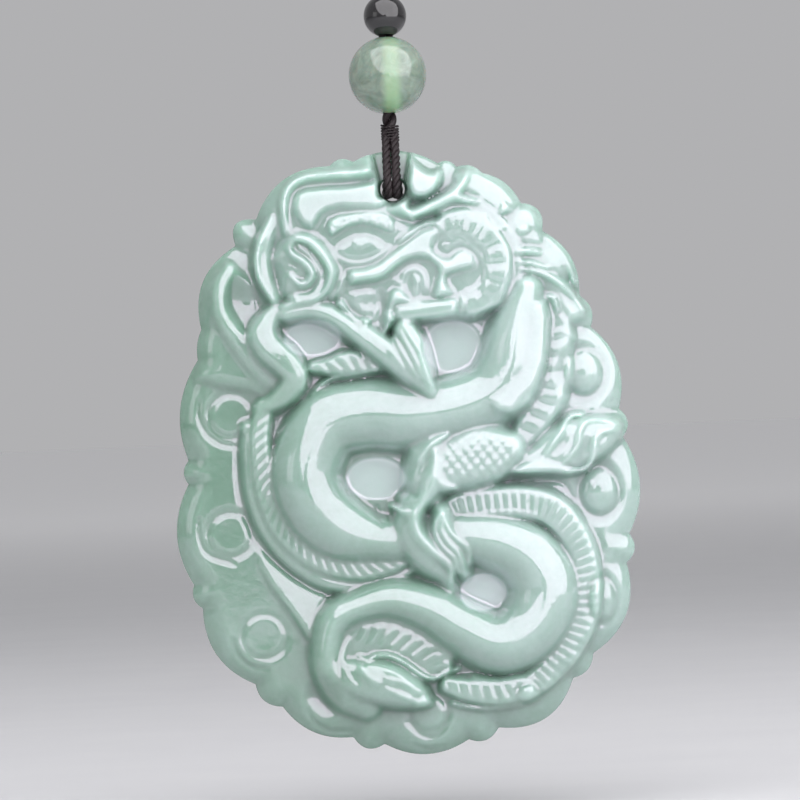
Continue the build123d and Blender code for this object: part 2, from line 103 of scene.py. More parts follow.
# Level-topped masses: edge breadth, rise in per cent of the relief height, how far the top leans to
# the right and upwards as slopes, and corners
MASSES = {
    "head": (8, 58, 0, 0, [
        (-51, 74), (-50, 84), (-45, 89.5), (-36, 90.5), (-12, 90), (-5, 84), (2, 80.5), (10, 77),
        (20, 79), (30, 80.5), (39, 79), (46, 73), (49.5, 64), (48.5, 55), (45.5, 47), (34, 43),
        (26, 43), (0, 43), (-10, 37), (-18, 42), (-28, 48.5), (-48, 48.5), (-53, 55), (-56, 66),
    ]),
    "nape": (8, 36, 0.0, 0, [
        (40, 85), (50, 82), (57, 78), (60, 71), (68, 62), (76, 50), (80, 42), (72, 39), (62, 49),
        (50, 56), (46, 66), (42, 76),
    ]),
    "cloud_left": (6, 20, 0, 0, [
        (-84, 58), (-78, 64), (-70, 65), (-62, 58), (-61, 48), (-65.5, 43), (-66.5, 38), (-61, 32),
        (-53, 27), (-53.5, 22), (-60, 19.5), (-66, 22), (-78, 24), (-90, 27), (-88, 44),
    ]),
    "tail_bed": (6, 41, 0, 0, [
        (-34, -52), (-22, -48), (-8, -49), (10, -56), (22, -64), (14, -74), (0, -78), (-20, -78),
        (-36, -70),
    ]),
    "crest_panel": (1.0, 68, 0.05, 0.10, [
        (-43.3, 84), (-43.3, 81), (-42, 78.2), (-40, 76.2), (-37.5, 75.2), (-35.4, 75.2), (-34, 77),
        (-32.4, 79), (-29.4, 80.6), (-24, 81.4), (-16, 81), (-8, 80.6), (-4.6, 82), (-3, 84.4),
        (-4.6, 88), (-6.6, 91.4), (-9, 89.6), (-20, 88.4), (-30, 88.4), (-38, 88.1), (-41.7, 86.9),
    ]),
    "snout": (1.2, 82, 0.06, 0.09, [
        (-21.6, 56), (-21.2, 60.8), (-14, 61.2), (-8, 62.8), (-2, 66.2), (4, 69.2), (10, 72.6),
        (15, 74), (17.4, 73.2), (18.4, 71), (16.2, 69.4), (15.2, 67.4), (15.8, 65.4), (18, 63.8),
        (22, 63.2), (25, 65.2), (28.5, 66.4), (32.4, 64.4), (33.4, 61.6), (32.4, 59.8), (26, 58.8),
        (20.4, 57.8), (20.2, 55.4), (21.4, 53.6), (23.8, 51.3), (14, 50.4), (15.8, 54), (17.4, 58.4),
        (16.2, 61.4), (14, 63.2), (8, 63.8), (3, 62.8), (-1, 60.8), (-5, 58.2), (-10, 56.8), (-16, 56.4),
    ]),
    "tooth": (1.6, 62, 0, 0, [(-21.8, 53.6), (-11, 54.6), (-11, 47.2), (-16, 45.2), (-20.8, 48.6)]),
    "jaw_lip": (0.7, 80, 0.08, 0.08, [
        (-4.3, 51), (-3.3, 53.2), (-1, 54.2), (1, 53.8), (2.8, 51.9), (4.6, 50.4), (10.8, 49.9),
        (10.8, 48.8), (3, 49.2), (-1.4, 49.2), (-3, 48), (-3.6, 46.6), (-2, 44.4), (-1.8, 43.2),
        (-3.8, 42.8), (-6.4, 39), (-7.4, 39.8), (-6, 43.4), (-6.6, 45.2), (-4.8, 47.6),
    ]),
    "chignon": (1.0, 62, 0.07, 0.07, [
        (4.6, 97.4), (7, 96.8), (9, 95.4), (12, 93.4), (14.6, 92.2), (17, 91.8), (19, 92.8), (20.4, 92.2),
        (19.8, 88.6), (17, 85.2), (13, 83.4), (8, 83.6), (6, 85.8), (5, 91),
    ]),
    "lump_a": (4, 47, 0, 0, [
        (28.4, 84), (28.4, 88), (30.6, 94), (38, 93.4), (47, 88.6), (55.4, 81.4), (52.4, 77), (43, 75.4),
        (36, 79), (33, 82.6),
    ]),
    "lump_b": (4, 43, 0, 0, [
        (52.4, 80.8), (58, 81), (65, 73.6), (63.4, 66), (53, 65.8), (46.6, 69.4), (45.6, 74), (49.4, 77.2),
    ]),
    "left_facet": (2.0, 14, 0.04, 0.12, [
        (-66, -27), (-61.5, -32.4), (-50, -40), (-36.6, -45.6), (-40, -51), (-44.8, -61.5),
        (-52.5, -51.6), (-60.6, -42.4), (-64.8, -36),
    ]),
    "jaw_bar": (1.8, 76, 0, 0, [
        (-3.6, 47), (-2, 49.2), (4, 49.4), (14, 50.2), (24.6, 50.8), (26, 48), (25, 44), (17, 43.2),
        (8, 42.8), (0, 42.4), (-2.6, 44.4),
    ]),
    "horn_face": (0.8, 82, 0.06, 0.09, [
        (-1.4, 81.3), (2, 82.7), (5.9, 83.7), (5.4, 81.4), (6.4, 80), (9.4, 79.8), (18, 82.8),
        (26.2, 86.8), (31.6, 91.6), (31, 88.2), (28, 86.2), (28.4, 84), (31.6, 83), (38.4, 81.6),
        (34, 81.3), (24, 81.9), (18, 80.9), (12, 78.4), (7, 76.4), (3, 78.6),
    ]),
    "thigh_root": (8, 78, 0, 0, [
        (-3, -10), (0, 2), (8, 8), (20, 10), (22, -8), (14, -18), (2, -22),
    ]),
    "mane_bed": (1.6, 63, 0, 0, [
        (17, 77), (22, 79.4), (30, 80), (38, 78), (44.6, 73), (48.6, 66), (49, 58), (46.6, 51), (42, 46.4),
        (34, 44), (27, 43), (26, 51), (33, 53), (37.4, 58), (36, 64), (31, 67), (24, 67.4), (19, 70),
    ]),
    "palm": (0.8, 68, 0.05, 0.09, [
        (42, -8), (50, -5.4), (58, -3), (60.6, -4.8), (66, -5.8), (69, -7.4), (74.4, -8.4), (70, -9.8),
        (60, -9.1), (50, -9),
    ]),
    "heel": (0.5, 84, 0.05, 0.12, [
        (-25, -69.4), (-22, -68.8), (-20, -71.8), (-15, -73.8), (-15, -76.6), (-18.6, -76.2), (-22.8, -73),
    ]),
    "eye_ball": (1.2, 63, 0, 0, [
        (-27.2, 67.4), (-23, 70.2), (-18, 71.9), (-13, 71.9), (-8, 70.5), (-4, 67.6), (-8, 65.2),
        (-13, 63.8), (-18, 63.4), (-23, 64.5),
    ]),
    "crown_bed": (1.2, 50, 0, 0, [
        (14, 80), (27, 85.5), (34, 83.5), (43, 78.5), (48, 75), (53.5, 67), (54, 58), (52, 49), (46, 44),
        (38, 60), (28, 72),
    ]),
    "nape_fill": (2, 30, 0, 0, [(55, 53), (64, 50.5), (73, 42), (75, 35), (62, 33), (57, 40)]),
    "neck_face": (3.5, 86, 0.10, 0.03, [
        (52, 48), (49.5, 40), (48, 34), (45, 26), (40, 20), (34, 16), (38, 11), (46, 10), (54, 13.5),
        (59, 19.5), (62.4, 27), (63.8, 35), (64.4, 43), (62.6, 49.4),
    ]),
}

# Small facets, carved last: columns as in the masses
FACETS = {
    "brow_band": (0.8, 73, 0.06, 0.15, [
        (-29.6, 75.3), (-28.4, 77.8), (-25, 78.9), (-20, 79.5), (-13, 79.8), (-5.4, 79.5),
        (-2.4, 78.4), (-0.4, 76.2), (-1.2, 72.6), (-5, 73.4), (-10, 75), (-14.5, 75.9), (-19, 75.5),
        (-24, 73.8), (-27.4, 72.2), (-29, 73.4),
    ]),
    "lip_a": (0.7, 70, 0.06, 0.09, [
        (-27.6, 50), (-25.3, 51.9), (-23.4, 50.6), (-21.4, 47.7), (-18.4, 45), (-21.2, 46), (-24.2, 47.7),
    ]),
    "lip_b": (1, 80, 0.12, 0.16, [(-17.4, 45.6), (-11.6, 44.4), (-14.8, 41)]),
    "lump_chip": (0.6, 52, 0.08, 0.10, [(43.4, 76.8), (45.8, 82.3), (49.6, 79.1), (47.6, 77.6)]),
    "lump_drop": (0.6, 48, 0.06, 0.14, [
        (50.6, 72), (52.4, 73.6), (55.8, 73.8), (57.4, 72), (55.8, 70.2), (52.4, 70.2),
    ]),
    "eye_glint": (0.6, 66, 0.03, 0.14, [
        (-19.6, 70.3), (-17.2, 71.6), (-13, 71.5), (-8.6, 70), (-12, 68.8), (-15, 67.8), (-18, 67.6),
    ]),
}

# Rounded forms along a line: place, breadth each side of the line, and rise in per cent
ROUNDED = {
    "crest_slope": [
        (-51, 74, 7, 40), (-52, 82, 9, 46), (-47, 89, 9.5, 50), (-37, 92.5, 9.5, 50),
        (-20, 94, 9, 46), (-9, 96, 6, 34),
    ],
    "body": [
        (55, 52, 7.5, 78), (52, 44, 11, 84), (49, 35, 13.5, 88), (46.5, 26, 15, 90),
        (38, 18, 14.5, 88), (22, 13.5, 14.5, 85), (2, 12, 15.5, 84), (-17, 13, 15.5, 83),
        (-34, 9.5, 15.8, 88), (-43.3, -4, 15.8, 97), (-40.5, -16, 15.8, 98),
        (-30, -24.5, 14.8, 88), (-14, -28.5, 10.5, 75), (4, -29, 10, 64), (20, -28.5, 11, 73),
        (36, -30.5, 13, 82), (50, -36.5, 14.8, 82), (57, -47, 15.8, 83), (51, -59, 14.6, 91),
        (37, -64.5, 13.5, 97), (22, -59.5, 12.5, 94), (8, -52.5, 11.3, 87), (-8, -48.5, 9.5, 80),
        (-22, -50, 8, 76), (-33, -54, 8, 74), (-37, -62, 7.5, 72), (-37, -70, 8, 70),
        (-32, -77.5, 8.5, 62), (-22, -82, 8, 50),
    ],
    "flank": [
        (2, -17, 7, 84), (0, -27, 8.6, 82), (7, -35, 8.4, 78), (14, -41, 5, 62), (17, -46, 2.5, 44),
    ],
    "claw_bed": [(14, -20, 5, 84), (15, -27, 8, 82), (20, -34, 6.6, 76), (22.5, -40.4, 3.4, 60)],
    "nose_outer": [
        (-50, 49.6, 2.2, 66), (-43, 51.2, 2.8, 74), (-36.4, 52.2, 3.4, 80), (-30.6, 55.8, 4.2, 84),
        (-28.9, 61, 4.8, 88), (-32.4, 66.6, 4.8, 88), (-37.6, 70.8, 4.6, 86), (-42.6, 71.8, 3.8, 82),
        (-46, 70, 2.6, 74),
    ],
    "horn": [
        (-2, 80.2, 2.4, 66), (6, 78.6, 3, 72), (14, 80.2, 3.4, 74), (22, 82.8, 3.4, 74),
        (28, 86.6, 3, 70), (31.5, 91, 2, 60),
    ],
}

# Flat-topped forms along a line: columns as in the rounded forms
LEVEL = {
    "tail_paw": [
        (-33, -71, 6, 58), (-25, -74, 9.5, 74), (-13, -76, 10.5, 82), (-2, -79.6, 7, 80),
        (3.6, -82, 3, 72),
    ],
    "forepaw": [
        (44, -7, 3, 50), (57, -4, 6.5, 60), (67, -1, 10.5, 64), (77, 1.5, 10.5, 62),
        (88, 4.5, 6, 46),
    ],
    "cheek_lock": [
        (-52.5, 79, 2.6, 48), (-56, 73, 4, 56), (-58, 66, 4.2, 58), (-57, 59, 4, 56),
        (-53.5, 52.5, 3.2, 50),
    ],
    "lower_jaw": [
        (-49, 47.2, 4, 62), (-37, 48.2, 4.5, 68), (-26, 45, 5.5, 76), (-15, 38.5, 6.5, 84),
        (-4, 31.5, 7, 92), (5, 25.5, 6.5, 94), (12, 19.5, 3, 88),
    ],
    "beard": [(2, 40, 6, 86), (5, 34, 6.5, 94), (9, 27, 4.5, 98), (12.5, 20.5, 2, 92)],
    "whisker": [
        (-54, 48, 4, 54), (-59, 42, 7, 60), (-57, 36.5, 7.5, 64), (-51, 32, 7.5, 66),
        (-46.5, 27, 6.5, 66), (-48.5, 22.5, 6, 62), (-55, 18.5, 4.5, 50), (-62, 16.5, 3, 36),
    ],
    "cloud_ridge": [
        (-72.5, 63, 3.5, 28), (-76.5, 57, 4.5, 34), (-77, 50, 4.5, 36), (-73.5, 44, 5, 36),
        (-69, 38, 5, 34), (-62, 31, 6, 32), (-57, 26, 5, 28),
    ],
    "fin_left_band": [
        (-67, 10, 3.6, 28), (-67.6, 0, 3.6, 30), (-66.6, -12, 3.6, 30), (-62, -22.5, 3.8, 30),
        (-54.6, -31.2, 3.8, 30), (-45.6, -37.6, 3.8, 30), (-36, -41.9, 3.6, 30), (-22, -43.6, 3, 28),
        (-8, -41.2, 2.4, 26), (2, -38.6, 2, 26),
    ],
    "fin_neck_bed": [
        (68, 41, 6, 24), (67, 33, 7, 28), (65.6, 24, 7.4, 30), (61.6, 15, 7.8, 30), (54, 8, 7, 30),
    ],
    "thigh": [(44, 0, 8, 82), (32, -2, 14.5, 88), (20, -5, 12, 90), (10, -10, 7.5, 90)],
}

# Forms with a keen crest: columns as in the rounded forms
KEEN = {
    "crest": [
        (-47.2, 74.2, 2, 66), (-47.9, 80, 2.4, 72), (-47.2, 86, 2.8, 76), (-44, 90, 2.8, 78),
        (-38, 92.2, 2.6, 78), (-28, 92.9, 2.6, 78), (-16, 93, 2.6, 76), (-9.5, 94, 2.4, 70),
        (-6.2, 96.4, 1.6, 56),
    ],
    "lock_edge": [
        (-53.4, 79.4, 1.2, 60), (-57, 73.8, 1.8, 68), (-59.8, 68.6, 2, 72), (-60.4, 64, 2, 72),
        (-59.4, 59.4, 1.9, 70), (-57, 55.6, 1.7, 66), (-54, 51.8, 1.4, 60),
    ],
    "lower_lid": [
        (-27.6, 67.4, 0.8, 65), (-26, 65.4, 0.9, 67), (-22, 63.6, 0.9, 68), (-17, 62.9, 0.9, 68),
        (-11.6, 63.6, 0.9, 68), (-6.4, 65.6, 0.9, 67), (-3.6, 67.6, 0.8, 65),
    ],
    "nose_gap_line": [
        (-46, 52.6, 1, 70), (-38, 53.2, 1.1, 74), (-34.6, 55.6, 1.1, 76), (-33.2, 59, 1.1, 76),
        (-34.6, 63, 1.1, 76), (-38, 66.6, 1.1, 76), (-42, 69.2, 1, 74),
    ],
    "nose_leaf": [(-29, 52.2, 1.2, 66), (-25.5, 54.8, 1.3, 70), (-23.8, 58.6, 1.2, 70)],
    "fang": [
        (1.2, 56, 0.9, 66), (2.6, 58.6, 1, 68), (5.4, 60, 1, 68), (8.6, 59.8, 1, 68),
        (10.6, 57.4, 1, 68), (10.8, 53.6, 0.9, 66),
    ],
    "tongue": [(6.4, 58.4, 0.8, 68), (7.8, 57, 1.2, 72), (7.6, 54, 1, 70), (6.8, 51.6, 0.8, 66)],
    "cheek_ring": [
        (21, 67.6, 0.7, 64), (24.4, 68, 0.8, 65), (28.4, 68, 0.8, 66), (32.4, 66.2, 0.8, 67),
        (35.8, 63.2, 0.8, 67), (37.3, 59.6, 0.8, 67), (36.8, 56.4, 0.8, 66), (34.4, 54, 0.8, 65),
        (31, 52.3, 0.7, 64), (28.8, 52.2, 0.7, 63),
    ],
    "jaw_stop": [(26.6, 50.8, 0.7, 72), (26.8, 47.6, 0.8, 76), (25.6, 43.8, 0.7, 72)],
    "mane_rim": [
        (38, 77, 0.9, 64), (40.4, 72.6, 1, 68), (45, 68.6, 1.1, 68), (47.6, 64, 1.1, 68),
        (47.4, 58.8, 1, 66), (45.6, 54.8, 0.9, 66), (43.6, 50, 0.9, 66), (42.6, 47.8, 0.9, 64),
        (37.4, 46.4, 0.9, 62), (33, 44.6, 0.9, 60), (31, 43.4, 0.8, 56),
    ],
    "body_cuff": [(-40, 20.5, 1.2, 30), (-32, 25, 1.4, 44), (-22, 25.9, 1.4, 46), (-8, 27.4, 1.2, 44)],
    "beard_a": [
        (1, 42.6, 1, 88), (4, 38, 1.3, 104), (8, 32.6, 1.3, 110), (9.8, 27, 1.3, 112),
        (12.6, 21.4, 0.9, 104),
    ],
    "beard_b": [
        (-1, 40.6, 1, 88), (2.4, 35.4, 1.2, 104), (5.6, 30, 1.2, 108), (8, 25.4, 1.1, 106),
        (10.4, 22.4, 0.8, 100),
    ],
    "beard_c": [(-3.4, 38.4, 1, 88), (0, 33.6, 1.2, 102), (3.4, 28.4, 1.2, 104), (6.6, 24.2, 1, 102)],
    "beard_d": [(-6.6, 36.6, 1, 86), (-3, 32, 1.2, 98), (0.4, 27.6, 1.1, 100)],
    "beard_e": [(4.6, 41.6, 1, 86), (8.4, 37, 1.2, 96), (9.6, 32.8, 1, 92)],
    "shin": [
        (12.4, 0, 2, 94), (12, -5, 3.4, 100), (10, -11.6, 4.4, 102), (5, -17.6, 4.4, 100),
        (2.4, -21.6, 4, 98), (4, -27, 4, 98), (9, -32, 3.8, 94), (14.4, -35.8, 3.2, 88),
        (17.2, -39, 2.4, 80), (17, -43, 1.6, 68),
    ],
    "spur": [(2, -20.4, 2.4, 96), (-3, -19, 2, 92), (-7, -17.4, 1.2, 84)],
    "ankle": [(11.6, -8, 3, 98), (15.4, -11.4, 2.4, 98), (20.6, -12.4, 1.4, 90)],
    "claw_a": [
        (15, -20.4, 1.2, 90), (11.8, -22.2, 1.3, 94), (10.8, -26.6, 1.3, 94),
        (13.6, -31.4, 1.3, 92), (18.4, -35.6, 1.3, 86), (20, -40.4, 1.1, 72),
    ],
    "claw_b": [
        (14.8, -21.2, 1.2, 90), (13.4, -25.6, 1.3, 94), (16, -30, 1.3, 92), (20.2, -33.6, 1.3, 86),
        (22.4, -38.2, 1.1, 74),
    ],
    "claw_c": [
        (14.8, -20, 1.1, 88), (16.8, -25.4, 1.3, 92), (20.4, -29.4, 1.3, 88),
        (24.4, -32.6, 1.3, 80), (25.4, -37.6, 1.1, 68),
    ],
    "haunch_edge": [(5, -3, 1, 86), (8.6, 1, 1.2, 90), (13, 3.4, 1.2, 92), (18, 5.2, 1, 92)],
    "hair_a": [(51, 64.6, 1.4, 56), (56, 64.8, 1.6, 60), (61, 64.2, 1.2, 50)],
    "hair_b": [(51.5, 61, 1.2, 58), (57, 60.6, 1.4, 60), (64, 58.8, 1.4, 54)],
    "hair_c": [
        (52.5, 58.8, 1.2, 56), (59, 57.8, 1.6, 60), (67, 54.8, 1.8, 54), (74, 50, 1.8, 48),
        (79, 44, 1.4, 38),
    ],
    "hair_d": [(41.5, 72, 1, 60), (46.5, 73, 1, 58)],
    "lobe_rim": [(64.5, 69, 2, 40), (72.5, 62, 2.6, 42), (75.6, 54, 2.2, 38)],
    "neck_lock": [(63.6, 49.6, 1.4, 50), (66, 48.6, 1.4, 52), (67.6, 45, 1.2, 46)],
    "fin_right_line": [
        (20, -22.4, 1, 40), (34, -21.3, 1.1, 46), (48, -21.6, 1.1, 46), (58, -24.8, 1.1, 44),
        (65, -30.5, 1, 40),
    ],
    "fin_low_line": [(24, -74.8, 1, 40), (34, -76.3, 1.1, 42), (46, -75.4, 1, 40)],
    "fin_low_rim": [
        (15, -83.4, 1.2, 24), (24, -85.2, 1.4, 26), (34, -85.8, 1.4, 26), (45, -84.8, 1.2, 22),
    ],
    "paw_edge": [
        (-24, -66.6, 0.9, 54), (-20, -67.6, 1.1, 62), (-17, -66.5, 1.3, 66), (-12, -66.4, 1.3, 68),
        (-8, -67.6, 1.3, 68), (-3.6, -69.6, 1.3, 66), (0, -72, 1.2, 62), (4, -74.2, 1.2, 60),
        (8, -75, 1.2, 56), (12, -73.6, 1.2, 52), (18.4, -72, 1, 44),
    ],
    "paw_a": [(-14, -70.6, 0.8, 84), (-8, -72.6, 0.9, 88), (-1, -76.6, 0.8, 86)],
    "paw_b": [(-11, -74.4, 0.9, 86), (-5.6, -75.6, 1, 90), (-1, -78, 0.8, 86)],
    "paw_c": [(-13, -77.4, 0.9, 86), (-6, -80, 1, 90), (0, -82.2, 0.8, 84)],
    "tail_edge": [
        (-28.2, -60.6, 1, 48), (-30.6, -65, 1.4, 56), (-31, -68.4, 1.5, 60), (-30, -72, 1.4, 62),
        (-27.6, -75, 1.2, 64), (-25, -76.8, 0.9, 64),
    ],
    "brow_line": [
        (1.4, 69.6, 1.1, 70), (5, 71.6, 1.2, 74), (10, 74.2, 1.2, 74), (14, 75.2, 1.2, 72),
        (17, 75.2, 1, 70), (19.6, 72.6, 0.9, 66),
    ],
    "nose_hook": [
        (-46.4, 68.8, 1.4, 76), (-44.6, 66.6, 2, 80), (-40.6, 64.6, 2.4, 84), (-37.6, 62, 2.6, 84),
        (-36.8, 59.6, 2.4, 84), (-38.6, 57.6, 2.2, 82), (-41, 56.8, 2, 80), (-43.4, 57.6, 1.6, 78),
        (-46.6, 60, 1.2, 70),
    ],
    "gum": [(-1.4, 57, 0.8, 64), (0.6, 55.2, 1, 66), (2, 53.8, 0.9, 64)],
    "mane_brow": [(21.4, 77.2, 0.9, 64), (26, 78.3, 1, 68), (31, 78.5, 0.9, 66)],
    "toe_a": [
        (58, -3.8, 1, 66), (62, 0, 1.3, 72), (66.4, 4.6, 1.4, 74), (69, 8.4, 1.3, 72), (72, 10, 1.1, 68),
        (76.4, 10.2, 0.9, 60),
    ],
    "toe_b": [
        (66.4, -6, 1, 68), (69, -4, 1.2, 72), (72, -1.6, 1.4, 74), (73.8, 1, 1.4, 74), (74.4, 4, 1.4, 74),
        (76.4, 7, 1.4, 72), (80, 8.2, 1.2, 66), (88, 7.6, 0.9, 54),
    ],
    "toe_c": [
        (70, -8.6, 1, 66), (75.6, -8.2, 1.3, 72), (79.4, -5.4, 1.3, 74), (80.6, -1.4, 1.3, 74),
        (81.2, 1.8, 1.4, 72), (84, 4, 1.3, 66), (89.4, 4.4, 1, 56),
    ],
    "whisker_edge": [
        (-50.4, 36, 1, 62), (-46, 32.6, 1.2, 66), (-42.4, 29, 1.2, 68), (-41.6, 26, 1.2, 66),
        (-43.4, 22, 1.1, 62),
    ],
}

# Ribbed strips: the ribs' pitch in millimetres, their height in per cent, their slant, and the
# strip's line with columns as in the rounded forms
RIBBED = {
    "fin_left": (1.1, 5, 0.45, [
        (-60, 17, 4.2, 36), (-62, 9, 4.6, 40), (-62.2, 0, 4.8, 42), (-61, -11, 4.8, 42),
        (-56.2, -21.8, 4.8, 42), (-47.8, -30.2, 4.8, 42), (-36.6, -35.6, 5, 42), (-22, -38, 5.2, 42),
        (-8, -36.4, 4.4, 40), (-2, -35, 3, 36),
    ]),
    "fin_neck": (1.7, 2, 0.1, [
        (68, 41, 4, 30), (67.6, 33, 5.4, 33), (66.2, 24, 5.8, 35), (62, 15, 6.4, 35),
        (55, 8, 6.6, 36), (49, 2, 5, 36),
    ]),
    "fin_throat": (1.3, 7, 0.3, [
        (-38, 29.4, 2.6, 46), (-31, 29.4, 4, 52), (-22, 30.4, 5.6, 56), (-12, 28.8, 3, 50),
    ]),
    "fin_right": (0.9, 4, 0.1, [
        (14, -19.4, 3.4, 40), (24, -18, 6.2, 46), (38, -17.8, 7.4, 48), (52, -18.4, 7.6, 48),
        (62, -21.4, 7.4, 46), (69.4, -28.2, 6.8, 42), (74.4, -37.4, 6.2, 38), (75.2, -48, 6, 38),
        (72.8, -58.2, 6, 36), (65.6, -68, 6, 36), (56, -75.2, 6, 34), (48, -79.2, 5.8, 32),
    ]),
    "fin_low": (1.2, 3.5, 0.2, [
        (14, -77.4, 4, 38), (22, -79.2, 5.4, 42), (34, -80.6, 5.8, 42), (46, -79.8, 5.6, 40),
    ]),
    "fin_tail": (1.25, 5, -0.3, [
        (-25, -60, 4, 42), (-17, -59.8, 6.4, 46), (-8, -61.6, 7.2, 47), (3, -66, 6.4, 45),
        (12, -70.6, 4, 41),
    ]),
    "mane": (1.9, 1.6, 0.0, [
        (20, 74, 4.4, 64), (29, 74.2, 6.4, 67), (38, 70, 6.6, 67), (42.6, 62.4, 6.2, 67),
        (41.4, 55, 6, 67), (36.6, 49.4, 5, 65), (31, 46.4, 3.6, 62),
    ]),
}

# Domes: place, half sizes, rise
DOMES = [
    (-42, 61.5, 12, 9, 64), (6, 57, 8, 6, 59.5),
    (31.5, 89.6, 6, 3.6, 50), (66.5, 61.5, 9.5, 8.4, 40),
    (-65, 74.5, 5.4, 4.6, 8), (-22, 95.5, 4, 2, 8),
]

# Ring-shaped pearls on the brow: place and half size
PEARLS = [
    (-25.6, 76.2, 2.1), (-21.8, 77.8, 1.4), (-15, 78, 1.5), (-9.9, 77.2, 1.9), (-5.6, 76.2, 2),
    (-2.4, 75.5, 1.7),
]

# Bosses: place, half sizes, rise, how flat the top is, the dish about each as a share of its size,
# and the dish's depth
BOSSES = [
    (-74.4, 14.5, 9, 6.9, 6, 9, 1.36, 6), (-77, -24.6, 8.8, 6.8, 6, 9, 1.36, 6),
    (-64.4, -58.6, 9, 6.8, 6, 9, 1.3, 6), (77.6, 23.8, 8, 7.2, 26, 2.6, 1.55, 15),
    (82, -15.5, 7.8, 7.6, 26, 2.6, 1.5, 14), (81.4, -51.6, 5.8, 7.2, 20, 3, 1.4, 10),
    (5, -86.2, 7.4, 5.8, 13, 7, 1.4, 10), (48, -81.6, 4.8, 3.4, 16, 4, 1.4, 6),
]

# Hollows: place, half sizes, tilt in degrees, floor, the floor's swell, and the lip's rise
HOLLOWS = [
    (-37.8, 39, 12.8, 6.4, 0, 28, 20, 2.5), (21.8, 34.2, 12.8, 9.4, 0, 28, 20, 2.5),
    (-13.5, -8.3, 13.4, 7.4, -6, 26, 20, 2.5), (30.5, -47.2, 10.6, 6.4, -18, 26, 20, 2.5),
]

# Soft dishes: place, half sizes, tilt, depth
DISHES = [
    (-67, 51.5, 9.4, 10.6, 10, 24), (-39.5, -79.5, 9.6, 8.2, 0, 18), (66, 1, 3.2, 6, -40, 6),
    (75.6, -2, 3.2, 6, -30, 6), (-14, 49.6, 7, 3, 0, 5), (-51, 61, 3, 7, 0, 8),
]

# Cuts along a line: place, breadth each side, depth
CUTS = {
    "gutter_left": [
        (-71, 8, 2.6, 5), (-71.4, -6, 3, 6), (-70, -17, 3, 6), (-66, -26.4, 3, 6),
        (-58, -34, 3, 6), (-50, -39.8, 3, 6), (-41, -44.4, 3, 6), (-34, -46.4, 2.4, 5),
    ],
    "ring_a": [
        (-87.4, 20, 1.1, 5), (-88, 14.5, 1.3, 8), (-85, 9, 1.3, 8), (-79, 5.4, 1.1, 6),
        (-72, 4.4, 1, 5),
    ],
    "ring_b": [(-90.4, -19, 1.1, 5), (-90, -26, 1.3, 8), (-86.4, -31, 1.3, 8), (-76, -34.4, 1.1, 5)],
    "ring_c": [
        (-77.6, -59.4, 1.1, 5), (-75.6, -64.6, 1.3, 8), (-70.4, -68.4, 1.3, 8),
        (-63, -69.4, 1.1, 5),
    ],
    "ring_e": [(-47.4, -83.4, 1.1, 5), (-43.8, -88, 1.3, 8), (-37.4, -91, 1.3, 8), (-29, -91, 1.1, 5)],
    "ring_f": [(-4.4, -89, 1.1, 5), (0.4, -93.4, 1.3, 8), (7, -94.4, 1.3, 8), (12.6, -91, 1.1, 5)],
    "ring_g": [(-3, -96.6, 1.2, 4), (4, -98.6, 1.4, 7), (11, -98, 1.2, 5)],
    "mouth": [(-8, 53, 1.6, 7), (-7.6, 48, 1.8, 9), (-9.6, 43.6, 1.6, 7)],
    "under_lip": [(-27, 48.6, 1.2, 10), (-22, 45.8, 1.4, 12), (-17.4, 42.4, 1.4, 12)],
    "thigh_top": [(-1, -15, 1.2, 5), (0.5, -9, 1.2, 5), (4, -3.4, 1.1, 5), (9, 2.2, 1, 4)],
    "belly_line": [(-13.6, -17.4, 1.1, 8), (-13, -20.6, 1.1, 8), (-11.4, -24, 1, 5)],
    "body_line": [
        (45, 9.4, 1.3, 4), (50.6, 15.6, 1.4, 5), (57.4, 20.4, 1.4, 5), (62.4, 27.6, 1.3, 5),
        (63, 38, 1.2, 4),
    ],
    "foot_line": [
        (30, -12, 1.2, 14), (40, -11, 1.2, 12), (52, -11.4, 1.2, 10), (66, -12.2, 1.2, 8),
        (71, -18, 1.2, 8),
    ],
    "nose_groove": [
        (-44, 70.6, 1.2, 10), (-38.6, 69.2, 1.3, 12), (-34, 65, 1.3, 12), (-31, 60.6, 1.3, 12),
        (-32, 56.4, 1.3, 12), (-35.6, 53.4, 1.2, 10), (-42, 51.8, 1, 8),
    ],
}

# The scaled haunch: its middle, half sizes, tilt, rows of scales, and their rise
SCALES = (30, -2.4, 18, 9.4, -8, 7, 10)

# Ovals where the stone is thin, painted paler as painted light showing through it: place and half sizes
PALE = [(-37.8, 39, 12, 6), (21.8, 34.2, 12, 8.6), (-13.5, -8.3, 12.6, 6.8), (30.5, -47.2, 10, 6)]


def place(across, up):
    """Per cent of the plaque's half sizes to x and z."""
    return half_width * (across - hole_across) / 100, hole_z + half_height * (up - hole_up) / 100


def wide(per_cent):
    """Per cent of the plaque's half width to millimetres."""
    return per_cent * half_width / 100


def tall(per_cent):
    """Per cent of the plaque's half height to millimetres."""
    return per_cent * half_height / 100


def deep(per_cent):
    """Per cent of the relief's height to millimetres."""
    return per_cent * relief_height / 100


def rounded(reach):
    """A round section: 1 at the middle, 0 at the edge."""
    return np.clip(1 - reach ** 2, 0, 1) ** round_power


def blur(grid, passes):
    """The grid with each point evened out with its neighbours, so many times."""
    for _ in range(passes):
        padded = np.pad(grid, 1, mode="edge")
        rows = padded[:-2] + 2 * padded[1:-1] + padded[2:]
        grid = (rows[:, :-2] + 2 * rows[:, 1:-1] + rows[:, 2:]) / 16
    return grid


